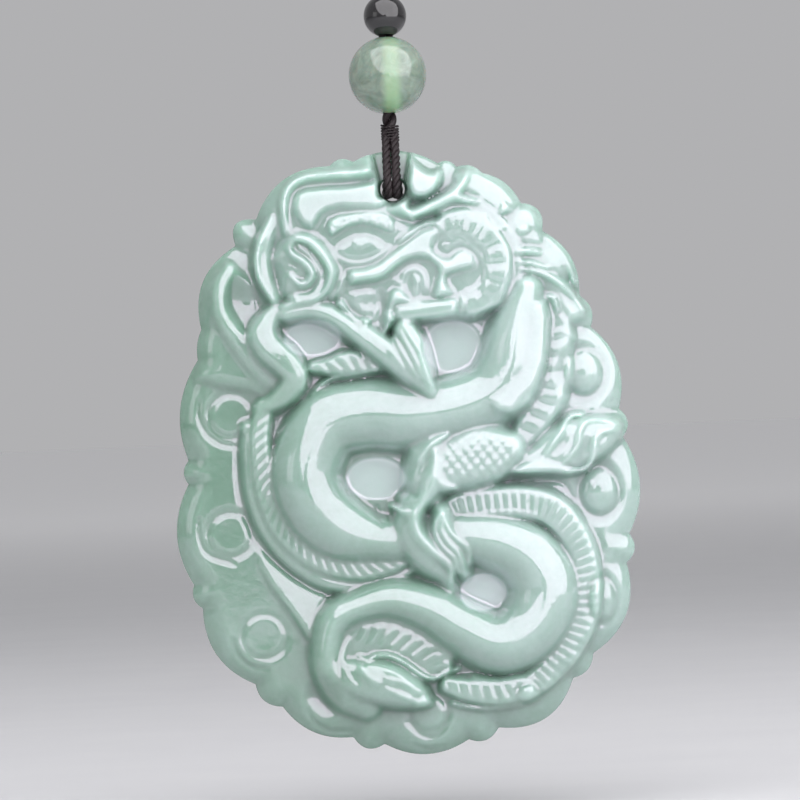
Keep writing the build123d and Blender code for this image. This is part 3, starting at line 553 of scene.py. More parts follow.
def outline():
    """The scalloped outline as a closed run of points."""
    points = []
    for row, following in zip(SCALLOPS, SCALLOPS[1:] + SCALLOPS[:1]):
        start, end = np.array(place(*row[:2])), np.array(place(*following[:2]))
        out = np.array([-(end - start)[1], (end - start)[0]]) * row[2]
        for step in range(arc_points):
            t = step / arc_points
            points.append(start + t * (end - start) + 4 * t * (1 - t) * out)
    return np.array(points)


def to_segment(x, z, start, end):
    """Distance to a segment, the share along it, and the side on which a point lies."""
    dx, dz = end[0] - start[0], end[1] - start[1]
    along = np.clip(((x - start[0]) * dx + (z - start[1]) * dz) / (dx * dx + dz * dz), 0, 1)
    across_x, across_z = x - start[0] - along * dx, z - start[1] - along * dz
    return np.hypot(across_x, across_z), along, np.sign(across_z * dx - across_x * dz)


def depth_inside(x, z, corners):
    """How far each point lies inside a closed run of corners, less than 0 outside it."""
    nearest = np.full(x.shape, np.inf)
    inside = np.zeros(x.shape, bool)
    for start, end in zip(corners, np.roll(corners, -1, axis=0)):
        nearest = np.minimum(nearest, to_segment(x, z, start, end)[0])
        crosses = (start[1] > z) != (end[1] > z)
        reach = start[0] + (z - start[1]) * (end[0] - start[0]) / (end[1] - start[1] + 1e-12)
        inside ^= crosses & (x < reach)
    return np.where(inside, nearest, -nearest)


def bend(rows):
    """More rows on a smooth curve through the given ones, in millimetres."""
    rows = np.array([
        (*place(across, up), wide(breadth), deep(rise)) for across, up, breadth, rise in rows
    ])
    padded = np.vstack([2 * rows[0] - rows[1], rows, 2 * rows[-1] - rows[-2]])
    line = []
    for a, b, c, d in zip(padded, padded[1:], padded[2:], padded[3:]):
        for step in range(curve_points):
            t = step / curve_points
            square, cube = 2 * a - 5 * b + 4 * c - d, 3 * b - a - 3 * c + d
            line.append(0.5 * (2 * b + (c - a) * t + square * t ** 2 + cube * t ** 3))
    return line + [rows[-1]]


class Carving:
    """The carved front as heights over a grid, worked like the stone: raised, then cut back."""

    def __init__(self, xs, zs):
        self.xs, self.zs = xs, zs
        self.x, self.z = np.meshgrid(xs, zs, indexing="ij")
        self.height = np.zeros(self.x.shape)

    def window(self, low_x, high_x, low_z, high_z):
        """The part of the grid between two corners."""
        i0, i1 = np.searchsorted(self.xs, [low_x, high_x])
        j0, j1 = np.searchsorted(self.zs, [low_z, high_z])
        return np.s_[i0:i1, j0:j1]

    def follow(self, rows):
        """A line's window, and there the reach across it from -1 to 1, length along it, and rise."""
        line = bend(rows)
        widest = max(row[2] for row in line)
        xs, zs = [row[0] for row in line], [row[1] for row in line]
        at = self.window(min(xs) - widest, max(xs) + widest, min(zs) - widest, max(zs) + widest)
        x, z = self.x[at], self.z[at]
        reach = np.full(x.shape, 9.0)
        length, rise = np.zeros(x.shape), np.zeros(x.shape)
        run = 0
        for start, end in zip(line, line[1:]):
            distance, along, side = to_segment(x, z, start, end)
            breadth = start[2] + along * (end[2] - start[2])
            closer = distance / breadth < np.abs(reach)
            step = math.hypot(end[0] - start[0], end[1] - start[1])
            reach = np.where(closer, side * distance / breadth, reach)
            length = np.where(closer, run + along * step, length)
            rise = np.where(closer, start[3] + along * (end[3] - start[3]), rise)
            run += step
        return at, reach, length, rise

    def raise_to(self, at, form):
        """The stone stands at least as high as a form."""
        self.height[at] = np.maximum(self.height[at], form)

    def mass(self, slope, rise, lean_right, lean_up, corners):
        """A level or leaning top inside its corners, with rounded edges."""
        corners = np.array([place(*corner) for corner in corners])
        (low_x, low_z), (high_x, high_z) = corners.min(axis=0), corners.max(axis=0)
        at = self.window(low_x, high_x, low_z, high_z)
        x, z = self.x[at], self.z[at]
        inside = depth_inside(x, z, corners) / wide(slope)
        lean = lean_right * ((low_x + high_x) / 2 - x) + lean_up * ((low_z + high_z) / 2 - z)
        top = deep(rise) + lean
        self.raise_to(at, np.where(inside > 0, top * rounded(1 - np.clip(inside, 0, 1)), 0))

    def rounded(self, *rows):
        """A round form along a line."""
        at, reach, _, rise = self.follow(rows)
        self.raise_to(at, rise * rounded(reach))

    def level(self, *rows):
        """A flat-topped form along a line."""
        at, reach, _, rise = self.follow(rows)
        self.raise_to(at, rise * rounded(reach ** 2))

    def keen(self, *rows):
        """A keen ridge along a line, on what lies under it."""
        at, reach, _, rise = self.follow(rows)
        section = np.clip(1 - np.abs(reach), 0, 1)
        section = np.clip((1 + keen_fullness) * section - keen_fullness * section ** 4, 0, 1)
        under = self.height[at]
        lift = np.clip(rise - under, keen_least, None)
        self.height[at] = np.where(np.abs(reach) < 1, under + lift * section, under)

    def ribbed(self, pitch, ribs, slant, rows):
        """A flat strip along a line, cut into slanting ribs."""
        at, reach, length, rise = self.follow(rows)
        strip = rise * np.clip(1 - reach ** strip_power, 0, 1) ** 0.5
        phase = (length + slant * reach * pitch * 2) / pitch
        saw = phase - np.floor(phase)
        rib = np.clip(np.minimum(saw * rib_front, (1 - saw) * rib_back), 0, 1) ** rib_power
        fade = np.clip((1 - np.abs(reach)) * rib_fade, 0, 1)
        self.raise_to(at, strip - deep(ribs) * (1 - rib) * fade)

    def round_window(self, across, up, half_across, half_up, tilt=0, spare=1.0):
        """Round an oval: the window, and how far across and up it each point lies, from -1 to 1."""
        x0, z0 = place(across, up)
        a, b = wide(half_across), tall(half_up)
        big = max(a, b) * spare
        at = self.window(x0 - big, x0 + big, z0 - big, z0 + big)
        c, s = math.cos(math.radians(tilt)), math.sin(math.radians(tilt))
        dx, dz = self.x[at] - x0, self.z[at] - z0
        return at, (c * dx + s * dz) / a, (c * dz - s * dx) / b

    def dome(self, across, up, half_across, half_up, rise):
        """A round boss."""
        at, u, v = self.round_window(across, up, half_across, half_up)
        self.raise_to(at, deep(rise) * rounded(np.hypot(u, v)))

    def boss(self, across, up, half_across, half_up, rise, flat, ring, sunk):
        """A boss in a dish."""
        at, u, v = self.round_window(across, up, half_across, half_up, spare=ring + 0.3)
        reach = np.hypot(u, v)
        dish = -sunk * np.clip(1 - (reach / ring) ** 4, 0, 1)
        swell = rise * np.clip(1 - reach ** flat, 0, 1) ** swell_power
        self.height[at] += deep(dish + swell)

    def hollow(self, across, up, half_across, half_up, tilt, floor, swell, lip):
        """A sunk oval with a swelling floor and a raised lip."""
        at, u, v = self.round_window(across, up, half_across, half_up, tilt, 1.4)
        reach = np.hypot(u, v)
        depth = np.clip((1 - reach) / hollow_wall, 0, 1)
        depth = depth * depth * (3 - 2 * depth)
        sunk = deep(floor + swell * np.clip(1 - reach ** 2, 0, 1) ** floor_power)
        height = self.height[at]
        height = height + depth * np.minimum(sunk - height, 0)
        edge = np.exp(-((reach - hollow_lip) / hollow_lip_width) ** 2)
        self.height[at] = height + deep(lip) * edge

    def dish(self, across, up, half_across, half_up, tilt, depth):
        """A soft hollow."""
        at, u, v = self.round_window(across, up, half_across, half_up, tilt)
        self.height[at] -= deep(depth) * np.clip(1 - u ** 2 - v ** 2, 0, 1) ** dish_power

    def pearl(self, across, up, size):
        """A small bead in a ring-shaped groove."""
        at, u, v = self.round_window(across, up, size, size * half_width / half_height, spare=1.5)
        reach = np.hypot(u, v)
        groove = np.exp(-((reach - 1.0) / pearl_groove_width) ** 2)
        self.height[at] += pearl_rise * np.clip(1 - reach ** 2, 0, 1) - pearl_groove * groove

    def cut(self, *rows):
        """A groove along a line."""
        at, reach, _, depth = self.follow(rows)
        self.height[at] -= depth * np.clip(1 - reach ** 2, 0, 1) ** cut_power

    def scales(self, across, up, half_across, half_up, tilt, rows, rise):
        """Crossing rows of scales over an oval."""
        at, u, v = self.round_window(across, up, half_across, half_up, tilt)
        reach = np.hypot(u, v)
        a, b = rows * (u + scale_lean * v) / 2, rows * (u - scale_lean * v) / 2
        pillow = np.minimum(np.abs(np.sin(math.pi * a)), np.abs(np.sin(math.pi * b))) ** scale_power
        fade = np.clip((1 - reach) * scale_fade, 0, 1)
        self.height[at] += deep(rise) * fade * (pillow - scale_level)

    def seat(self):
        """The channel that the loop's front leg lies in: the plate thins by a cone about the hole."""
        x, z = self.x, self.z - hole_z
        cone = seat_inner / 2 - seat_slope * (np.hypot(x, z) - hole_radius)
        floor = np.maximum(cone, seat_outer / 4) - plate_depth / 2
        turn = math.tan(math.radians(swing + seat_room_turn))
        beside = np.clip(np.abs(x) - (strand_diameter + seat_room + np.clip(z, 0, None) * turn), 0, None)
        below = np.clip(-z - hole_radius / 2, 0, None)
        bank = np.hypot(beside, below)
        self.height = np.minimum(self.height, floor + bank_rise * bank ** bank_power)
        self.ground_off = np.clip(1 - bank / bank_edge, 0, 1)

    def polish(self):
        """All of it rubbed a little smoother."""
        self.height = blur(self.height, 1)


def each(tool, forms):
    """One tool of the carving on each form of a table."""
    for form in forms:
        tool(*form)


def carve(xs, zs, edge):
    """The whole front, as heights in front of the plain ground, and where the seat is ground off."""
    stone = Carving(xs, zs)
    each(stone.mass, MASSES.values())
    each(stone.rounded, ROUNDED.values())
    each(stone.level, LEVEL.values())
    each(stone.dome, DOMES)
    stone.polish()
    each(stone.ribbed, RIBBED.values())
    each(stone.boss, BOSSES)
    each(stone.dish, DISHES)
    stone.scales(*SCALES)
    each(stone.hollow, HOLLOWS)
    each(stone.cut, CUTS.values())
    each(stone.keen, KEEN.values())
    stone.polish()
    stone.height -= rim_fall * np.clip(1 - edge / rim_round, 0, 1) ** 2
    stone.seat()
    each(stone.mass, FACETS.values())
    stone.polish()
    each(stone.pearl, PEARLS)
    return stone.height, stone.ground_off


# The string above the plaque, in millimetres
NECK_ROUTE = [
    (30, -6, -2), (54, -26, -11), (66, -55, -32), (67, -86, -62), (58, -111, -98),
    (42, -128, -136), (22, -137, -171), (6, -139, -195), (0.72, -139, -205), (0.69, -139, -209),
]
cord_diameter = 1.3
core_diameter = 1.5
binding_z = -224.06
binding_length = 1.9
binding_radius = 0.98
jade_bead_z = -217.16
jade_bead_diameter = 8.0
black_bead_z = -211.08
black_bead_diameter = 4.4
black_bead_height = 4.0
bore_radius = 0.81
bore_lip = 0.14
thread_diameter = 0.28
core_top = -206.4
turned_crease = 40

# The loop's legs behind and in front, from the hole up into the binding, where they are alike: how
# far behind or before the string's axis, above the hole, and to each side
LEG_TOP = [(0.5, 4.95, 0.42), (0.3, 5.4, 0.4), (0.275, 6.1, 0.4)]
LEG_BEHIND = [
    (0.4, 0.6, 0.42), (1.3, 0.15, 0.46), (2.1, -0.05, 0.58), (2.95, -0.85, 0.66), (3.1, 0.6, 0.6),
    (2.3, 1.7, 0.48), (1.6, 2.66, 0.45), (1.12, 3.94, 0.45), (0.84, 4.5, 0.44), *LEG_TOP,
]
LEG_BEFORE = [
    (0.4, 0.6, 0.42), (1.3, 0.0, 0.4), (1.95, -0.68, 0.36), (2.75, -0.66, 0.38), (3.0, 0.6, 0.46),
    (2.4, 1.7, 0.46), (1.66, 2.8, 0.46), (1.16, 3.94, 0.46), (0.86, 4.5, 0.44), *LEG_TOP,
]


class Socket:
    """A node's output that works in Python sums."""

    def __init__(self, graph, out):
        self.graph, self.out = graph, out

    def other(self, name):
        """Another output of the same node."""
        return Socket(self.graph, self.out.node.outputs[name])

    def maths(self, operation, first, second):
        return self.graph.add("ShaderNodeMath", {"operation": operation}, {0: first, 1: second})

    def __add__(self, other):
        return self.maths("ADD", self, other)

    def __radd__(self, other):
        return self.maths("ADD", other, self)

    def __sub__(self, other):
        return self.maths("SUBTRACT", self, other)

    def __rsub__(self, other):
        return self.maths("SUBTRACT", other, self)

    def __mul__(self, other):
        return self.maths("MULTIPLY", self, other)

    def __rmul__(self, other):
        return self.maths("MULTIPLY", other, self)

    def __truediv__(self, other):
        return self.maths("DIVIDE", self, other)


class Graph:
    """A node tree that is built from expressions."""

    def __init__(self, tree):
        self.tree = tree

    def add(self, kind, settings=None, values=None, out=0):
        """A node: its settings first, then its sockets' values or links."""
        node = self.tree.nodes.new(kind)
        for name, value in (settings or {}).items():
            if name == "stops":
                ramp = node.color_ramp.elements
                while len(ramp) < len(value):
                    ramp.new(0.5)
                for element, (position, shade) in zip(ramp, value):
                    element.position, element.color = position, shade
            else:
                setattr(node, name, value)
        for name, value in (values or {}).items():
            if isinstance(value, Socket):
                self.tree.links.new(value.out, node.inputs[name])
            else:
                node.inputs[name].default_value = value
        return Socket(self, node.outputs[out])

    def attribute(self, name):
        """A number that the mesh holds at each of its points."""
        return self.add("ShaderNodeAttribute", {"attribute_name": name}, out="Fac")

    def mix(self, share, first, second):
        """A colour between two."""
        return self.add("ShaderNodeMix", {"data_type": "RGBA"}, {0: share, 6: first, 7: second}, out=2)

    def noise(self, where, scale, detail=3.0, roughness=0.5, distortion=0.0):
        """Cloudy numbers about 0.5."""
        return self.add("ShaderNodeTexNoise", None, {
            "Vector": where, "Scale": scale, "Detail": detail, "Roughness": roughness,
            "Distortion": distortion,
        })

    def between(self, value, low, high):
        """0 where the value is low, 1 where it is high."""
        return self.add("ShaderNodeMapRange", {"interpolation_type": "SMOOTHSTEP"}, {
            "Value": value, "From Min": low, "From Max": high,
        })


def colour(red, green, blue):
    """A screen colour, 0 to 255, as the linear one that Blender works with."""
    def linear(v):
        v /= 255
        return v / 12.92 if v <= 0.04045 else ((v + 0.055) / 1.055) ** 2.4
    return linear(red), linear(green), linear(blue), 1.0


def new_material(name, values):
    """A material with one Principled surface: its graph and the surface's input sockets."""
    material = bpy.data.materials.new(name)
    material.use_nodes = True
    surface = material.node_tree.nodes["Principled BSDF"]
    for key, value in values.items():
        surface.inputs[key].default_value = value
    graph = Graph(material.node_tree)

    def feed(key, socket):
        graph.tree.links.new(socket.out, surface.inputs[key])

    where = graph.add("ShaderNodeTexCoord", out="Object")
    return material, graph, where, feed


def bump(graph, feed, height, strength, distance):
    """Fine relief in the surface's shading."""
    feed("Normal", graph.add("ShaderNodeBump", None, {
        "Height": height, "Strength": strength, "Distance": distance,
    }))


def jade_material():
    """Pale green jade with clouds in it. Painted shade darkens the recesses and the seat; painted
    light brightens the ridges, the high relief, the upper right side and the thin ovals.
    """
    material, g, where, feed = new_material("jade_stone", {
        "IOR": 1.7, "Specular IOR Level": 1.0, "Specular Tint": (1.0, 0.82, 1.0, 1.0),
        "Subsurface Weight": 0.9, "Subsurface Scale": 0.004, "Subsurface Radius": (0.8, 1.0, 0.85),
    })
    cavity, level, pale, seat = (g.attribute(name) for name in ("cavity", "level", "pale", "seat"))
    clouds = g.noise(where, 75, 4, 0.55, 0.8)
    wisps = g.noise(where, 240, 5, 0.6, 1.4)
    grain = g.noise(where, 1500, 3, 0.6)
    across = g.add("ShaderNodeSeparateXYZ", None, {0: where})
    up = across.other("Z") - plaque_middle_z * MM
    # Painted light: the right and upper side is painted paler, as lit from the upper right
    side = g.between(across + up * 0.4, -0.024, 0.022)
    # Painted shade in the recesses and in the seat, where the loop's shadow falls; painted light on the
    # ridges, high relief and thin ovals
    tone = 0.285 + cavity * 0.10 + level * 0.12 + side * 0.32 + pale * 0.7 - seat * 0.25
    tone = tone + (clouds - 0.5) * 0.36 + (wisps - 0.5) * 0.18 + (grain - 0.5) * 0.10
    stone = g.add("ShaderNodeValToRGB", {"stops": [
        (0.0, colour(91, 122, 102)), (0.3, colour(114, 147, 129)), (0.55, colour(139, 166, 155)),
        (0.80, colour(162, 184, 177)), (1.0, colour(182, 199, 195)),
    ]}, {"Fac": tone})
    feed("Base Color", stone)
    feed("Roughness", 0.05 + (grain - 0.5) * 0.02 + seat * 0.5)
    bump(g, feed, grain + wisps * 0.6, 0.06, 0.0002)
    return material


def bead_material():
    """Clear, watery jade with wisps, and a greener band along its axis."""
    material, g, where, feed = new_material("bead_jade_stone", {
        "IOR": 1.6, "Subsurface Weight": 0.3, "Subsurface Scale": 0.002,
        "Transmission Weight": 0.3, "Coat Weight": 0.4, "Coat Roughness": 0.03, "Roughness": 0.07,
    })
    place_in = g.add("ShaderNodeMapping", None, {
        "Vector": where, "Location": (0, -hang_y * MM, -jade_bead_z * MM),
    })
    across = g.add("ShaderNodeSeparateXYZ", None, {0: place_in})
    off_axis = g.add("ShaderNodeMath", {"operation": "ABSOLUTE"}, {0: across - 0.0004})
    core = 1 - g.between(off_axis, 0.0003, 0.0013)
    low = 1 - g.between(across.other("Z"), -0.0035, 0.0015)
    wisps = g.noise(place_in, 420, 5, 0.6, 2.2)
    clouds = g.noise(place_in, 210, 3, 0.5, 0.8)
    tone = 0.30 + (wisps - 0.5) * 0.9 + (clouds - 0.5) * 0.5
    body = g.add("ShaderNodeValToRGB", {"stops": [
        (0.0, colour(96, 116, 100)), (0.4, colour(142, 160, 146)), (0.75, colour(176, 194, 178)),
        (1.0, colour(204, 218, 204)),
    ]}, {"Fac": tone})
    feed("Base Color", g.mix(core * (0.35 + low * 0.45), body, colour(168, 208, 160)))
    return material


def black_material():
    """Polished black stone."""
    material, g, where, feed = new_material("black_bead_stone", {
        "IOR": 1.55, "Coat Weight": 0.5, "Coat Roughness": 0.03,
    })
    clouds = g.noise(where, 500, 3)
    feed("Base Color", g.mix(clouds, (0.004, 0.004, 0.005, 1), (0.012, 0.011, 0.012, 1)))
    feed("Roughness", 0.06 + clouds * 0.05)
    return material


def cord_material():
    """Dark brown waxed cord, with its fibres."""
    material, g, where, feed = new_material("dark_waxed_cord", {"IOR": 1.45, "Specular IOR Level": 0.35})
    drawn = g.add("ShaderNodeMapping", None, {"Vector": where, "Scale": (1, 1, 0.25)})
    fibre = g.noise(drawn, 6500, 3, 0.6)
    worn = g.noise(where, 700, 2)
    feed("Base Color", g.mix(fibre * 0.7 + worn * 0.3, (0.006, 0.004, 0.005, 1), (0.026, 0.017, 0.019, 1)))
    feed("Roughness", 0.42 + fibre * 0.25)
    bump(g, feed, fibre, 0.5, 0.00005)
    return material


def to_metres(points):
    """Places in millimetres as vectors in metres."""
    return [Vector(point) * MM for point in points]


def new_object(name, mesh):
    """An object in the scene that holds a mesh, curve, lamp or camera."""
    piece = bpy.data.objects.new(name, mesh)
    bpy.context.collection.objects.link(piece)
    return piece


def new_mesh(name, vertices, faces):
    """A closed mesh with its normals outwards, smooth apart from its sharp edges."""
    mesh = bpy.data.meshes.new(name)
    mesh.from_pydata(vertices, [], faces)
    work = bmesh.new()
    work.from_mesh(mesh)
    bmesh.ops.recalc_face_normals(work, faces=work.faces)
    work.to_mesh(mesh)
    work.free()
    mesh.shade_smooth()
    mesh.set_sharp_from_angle(angle=math.radians(turned_crease))
    return mesh


def route(name, points):
    """A smooth curve on a route's points, in millimetres."""
    curve = bpy.data.curves.new(name, "CURVE")
    curve.dimensions = "3D"
    curve.resolution_u = 16
    spline = curve.splines.new("NURBS")
    spline.points.add(len(points) - 1)
    for point, at in zip(spline.points, to_metres(points)):
        point.co = (*at, 1)
    spline.order_u = 3
    spline.use_endpoint_u = True
    return new_object(name, curve)


def strand_tree():
    """Geometry nodes: strands that twist together round a curve."""
    tree = bpy.data.node_groups.new("twisted_strands", "GeometryNodeTree")
    face = tree.interface
    face.new_socket("Geometry", in_out="OUTPUT", socket_type="NodeSocketGeometry")
    for name, kind in (
        ("Geometry", "NodeSocketGeometry"), ("Plies", "NodeSocketInt"),
        ("Ply Radius", "NodeSocketFloat"), ("Twist Radius", "NodeSocketFloat"),
        ("Turn Length", "NodeSocketFloat"), ("Step", "NodeSocketFloat"),
        ("Facets", "NodeSocketInt"), ("Material", "NodeSocketMaterial"),
    ):
        face.new_socket(name, in_out="INPUT", socket_type=kind)
    g = Graph(tree)
    given = tree.nodes.new("NodeGroupInput")

    def take(name):
        return Socket(g, given.outputs[name])

    line = g.add("GeometryNodeResampleCurve", {"mode": "LENGTH"}, {
        "Curve": take("Geometry"), "Length": take("Step"),
    })
    copies = g.add("GeometryNodeDuplicateElements", {"domain": "SPLINE"}, {
        "Geometry": line, "Amount": take("Plies"),
    })
    run = g.add("GeometryNodeSplineParameter", out="Length")
    turn = run / take("Turn Length") + copies.other("Duplicate Index") / take("Plies")
    angle = turn * (2 * math.pi)
    normal = g.add("GeometryNodeInputNormal")
    tangent = g.add("GeometryNodeInputTangent")
    side = g.add("ShaderNodeVectorMath", {"operation": "CROSS_PRODUCT"}, {0: tangent, 1: normal})

    def along(vector, length):
        return g.add("ShaderNodeVectorMath", {"operation": "SCALE"}, {0: vector, "Scale": length})

    cosine = g.add("ShaderNodeMath", {"operation": "COSINE"}, {0: angle})
    sine = g.add("ShaderNodeMath", {"operation": "SINE"}, {0: angle})
    offset = g.add("ShaderNodeVectorMath", {"operation": "ADD"}, {
        0: along(normal, cosine * take("Twist Radius")), 1: along(side, sine * take("Twist Radius")),
    })
    moved = g.add("GeometryNodeSetPosition", None, {"Geometry": copies, "Offset": offset})
    ring = g.add("GeometryNodeCurvePrimitiveCircle", {"mode": "RADIUS"}, {
        "Resolution": take("Facets"), "Radius": take("Ply Radius"),
    })
    tube = g.add("GeometryNodeCurveToMesh", None, {
        "Curve": moved, "Profile Curve": ring, "Fill Caps": True,
    })
    smooth = g.add("GeometryNodeSetShadeSmooth", None, {"Geometry": tube})
    real = g.add("GeometryNodeRealizeInstances", None, {"Geometry": smooth})
    painted = g.add("GeometryNodeSetMaterial", None, {"Geometry": real, "Material": take("Material")})
    end = tree.nodes.new("NodeGroupOutput")
    tree.links.new(painted.out, end.inputs["Geometry"])
    return tree


def twisted(name, points, plies, ply, twist, turn, step, facets):
    """A mesh of strands twisted round a route: sizes in millimetres."""
    curve = route(name + "_route", points)
    modifier = curve.modifiers.new("strands", "NODES")
    modifier.node_group = strands
    sizes = {
        "Plies": plies, "Ply Radius": ply * MM, "Twist Radius": twist * MM,
        "Turn Length": turn * MM, "Step": step * MM, "Facets": facets, "Material": cord_look,
    }
    for item in strands.interface.items_tree:
        if item.in_out == "INPUT" and item.name in sizes:
            modifier[item.identifier] = sizes[item.name]
    curve.update_tag()
    ready = curve.evaluated_get(bpy.context.evaluated_depsgraph_get())
    mesh = bpy.data.meshes.new_from_object(ready)
    mesh.name = name
    bpy.data.objects.remove(curve)
    return mesh


def joined(name, meshes):
    """One object from several meshes that share a material."""
    work = bmesh.new()
    for mesh in meshes:
        work.from_mesh(mesh)
    mesh = bpy.data.meshes.new(name)
    bmesh.ops.recalc_face_normals(work, faces=work.faces)
    work.to_mesh(mesh)
    work.free()
    mesh.materials.append(cord_look)
    mesh.shade_smooth()
    return new_object(name, mesh)


def make_neck_cord():
    """The neck loop and the two thinner strands that run down together through the beads."""
    points = [(-x, y, z) for x, y, z in reversed(NECK_ROUTE)] + [(0, 0, 0)] + NECK_ROUTE
    ply = cord_diameter * 0.24
    loop = twisted(
        "neck_loop", points, plies=3, ply=ply, twist=cord_diameter / 2 - ply, turn=4.2, step=0.5, facets=8,
    )
    core = [(0, hang_y, core_top + share / 8 * (binding_z - core_top)) for share in range(9)]
    ply = core_diameter / 4
    stem = twisted(
        "bead_stem", core, plies=2, ply=ply, twist=core_diameter / 2 - ply, turn=3.4, step=0.15, facets=12,
    )
    piece = joined("twisted_neck_cord", [loop, stem])
    dress(piece, "cord_and_beads", "dark_cord", "neck_cord")


def make_loop():
    """The doubled cord through the hole: two strands side by side."""
    line = [(x, hang_y - y, hole_z + z) for y, z, x in reversed(LEG_BEFORE)]
    line += [(x, hang_y + y, hole_z + z) for y, z, x in LEG_BEHIND]
    ply = strand_diameter * 0.26
    pair = [
        twisted(
            "loop_strand", [(side * x, y, z) for x, y, z in line],
            plies=3, ply=ply, twist=strand_diameter / 2 - ply, turn=2.2, step=0.16, facets=8,
        )
        for side in (-1, 1)
    ]
    piece = joined("twisted_cord_loop", pair)
    dress(piece, "cord_and_beads", "dark_cord", "cord_loop")


def make_binding():
    """Thread wound round the legs of the loop, under the beads."""
    to_a_turn = 16
    out = binding_radius - thread_diameter / 2
    count = int((binding_length / thread_diameter - 1) * to_a_turn)
    points = []
    for step in range(count + 1):
        angle = 2 * math.pi * step / to_a_turn
        up = thread_diameter / 2 + (binding_length - thread_diameter) * step / count
        points.append((out * math.sin(angle), hang_y - out * math.cos(angle), binding_z + up))
    thread = twisted(
        "thread", points,
        plies=2, ply=thread_diameter * 0.32, twist=thread_diameter * 0.16, turn=0.8, step=0.08, facets=6,
    )
    piece = joined("wound_thread", [thread])
    dress(piece, "cord_and_beads", "dark_cord", "thread_binding")


def dress(piece, body, slot, *nodes):
    """What a piece rides on and the solids that it is shown for; the slot for what it is made of is not
    used.
    """
    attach(piece, body)
    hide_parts(*nodes)


def bands(rows, count, first=0, closed=True, joined_rows=False):
    """Quads between rows of points: a row may close to a ring, and the last row join the first."""
    faces = []
    for row in range(rows if joined_rows else rows - 1):
        low, high = first + row * count, first + (row + 1) % rows * count
        for i in range(count if closed else count - 1):
            j = (i + 1) % count
            faces.append((low + i, low + j, high + j, high + i))
    return faces


def make_bead(name, diameter, height, middle_z, material, slot, node):
    """A round drilled bead whose bore has softened lips: its section, spun about the string's axis."""
    radius = diameter / 2
    arc_steps, turns = 48, 72
    top = math.acos(min(height / 2 / radius, math.cos(math.asin((bore_radius + bore_lip) / radius))))
    end = radius * math.cos(top)
    profile = []
    for step in range(arc_steps + 1):
        angle = top + (math.pi - 2 * top) * step / arc_steps
        profile.append((radius * math.sin(angle), radius * math.cos(angle)))
    lip = [(bore_lip * share ** 2, bore_lip * (1 - share) * 0.8) for share in (0.7, 0.3)]
    lip.append((0, bore_lip * 1.6))
    profile += [(bore_radius + out, up - end) for out, up in lip]
    profile += [(bore_radius + out, end - up) for out, up in reversed(lip)]
    vertices = []
    for turn in range(turns):
        angle = 2 * math.pi * turn / turns
        for out, up in profile:
            at = (out * math.cos(angle), hang_y + out * math.sin(angle), middle_z + up)
            vertices.append(Vector(at) * MM)
    mesh = new_mesh(name, vertices, bands(turns, len(profile), joined_rows=True))
    mesh.materials.append(material)
    piece = new_object(name, mesh)
    dress(piece, "cord_and_beads", slot, node)


# The plaque's rim: steps and sections in millimetres, each row an inset and a drop or a rise
rim_step = 0.2
lip_inset = 0.3
plaque_crease = 50
LIP = [(lip_inset, 0.0), (0.16, 0.16), (0.05, 0.36), (0.0, 0.6)]
BACK_EDGE = [(0.0, 0.6), (0.05, 0.34), (0.16, 0.15), (0.34, 0.04), (0.6, 0.0), (1.0, 0.0)]

# How the painted light and shade are read off the relief: the cavities' breadth and depth, and the thin
# ovals' edge
cavity_passes = 40
cavity_depth = 0.9
pale_reach = 1.08
pale_fade = 0.16


def fine_outline():
    """The outline at an even, fine spacing."""
    points = outline()
    steps = np.hypot(*(np.roll(points, -1, axis=0) - points).T)
    run = np.concatenate([[0], np.cumsum(steps)])
    closed = np.vstack([points, points[:1]])
    wanted = np.linspace(0, run[-1], int(run[-1] / rim_step), endpoint=False)
    return np.column_stack([np.interp(wanted, run, closed[:, i]) for i in (0, 1)])


def inward(points, distance):
    """The outline moved in by a distance."""
    ahead, behind = np.roll(points, -1, axis=0), np.roll(points, 1, axis=0)
    run = ahead - behind
    normal = np.column_stack([run[:, 1], -run[:, 0]])
    return points + distance * normal / np.hypot(*run.T)[:, None]


def sample(grid, xs, zs, x, z):
    """The grid's value at each place."""
    i = np.clip((x - xs[0]) / (xs[1] - xs[0]), 0, len(xs) - 1.001)
    j = np.clip((z - zs[0]) / (zs[1] - zs[0]), 0, len(zs) - 1.001)
    i0, j0 = i.astype(int), j.astype(int)
    s, t = i - i0, j - j0
    low = grid[i0, j0] * (1 - s) + grid[i0 + 1, j0] * s
    high = grid[i0, j0 + 1] * (1 - s) + grid[i0 + 1, j0 + 1] * s
    return low * (1 - t) + high * t


def stitch(inner, inner_edges, ring):
    """Triangles inside a ring, on its points and on a run of points within it, and their middles."""
    points = np.array([*inner, *ring])
    start, count = len(inner), len(ring)
    edges = inner_edges + [(start + i, start + (i + 1) % count) for i in range(count)]
    flat = [Vector(point) for point in points]
    _, _, triangles, origins, _, _ = geometry.delaunay_2d_cdt(flat, edges, [], 0, 1e-7, True)
    triangles = np.array([[origins[corner][0] for corner in triangle] for triangle in triangles])
    middles = points[triangles].mean(axis=1)
    inside = depth_inside(*middles.T, ring) > 0
    return triangles[inside], middles[inside]


def net(keep):
    """The grid's cells whose corners are all kept, its used points, its quads and its border's edges."""
    cells = keep[:-1, :-1] & keep[1:, :-1] & keep[1:, 1:] & keep[:-1, 1:]
    around = np.pad(cells, 1)
    used = around[:-1, :-1] | around[1:, :-1] | around[1:, 1:] | around[:-1, 1:]
    number = np.full(keep.shape, -1)
    number[used] = np.arange(used.sum())
    quads = np.stack([number[:-1, :-1], number[1:, :-1], number[1:, 1:], number[:-1, 1:]], axis=-1)
    on_x = around[1:-1, :-1] ^ around[1:-1, 1:]
    on_z = around[:-1, 1:-1] ^ around[1:, 1:-1]
    edges = np.vstack([
        np.column_stack([number[:-1][on_x], number[1:][on_x]]),
        np.column_stack([number[:, :-1][on_z], number[:, 1:][on_z]]),
    ])
    return cells, used, quads[cells].tolist(), edges


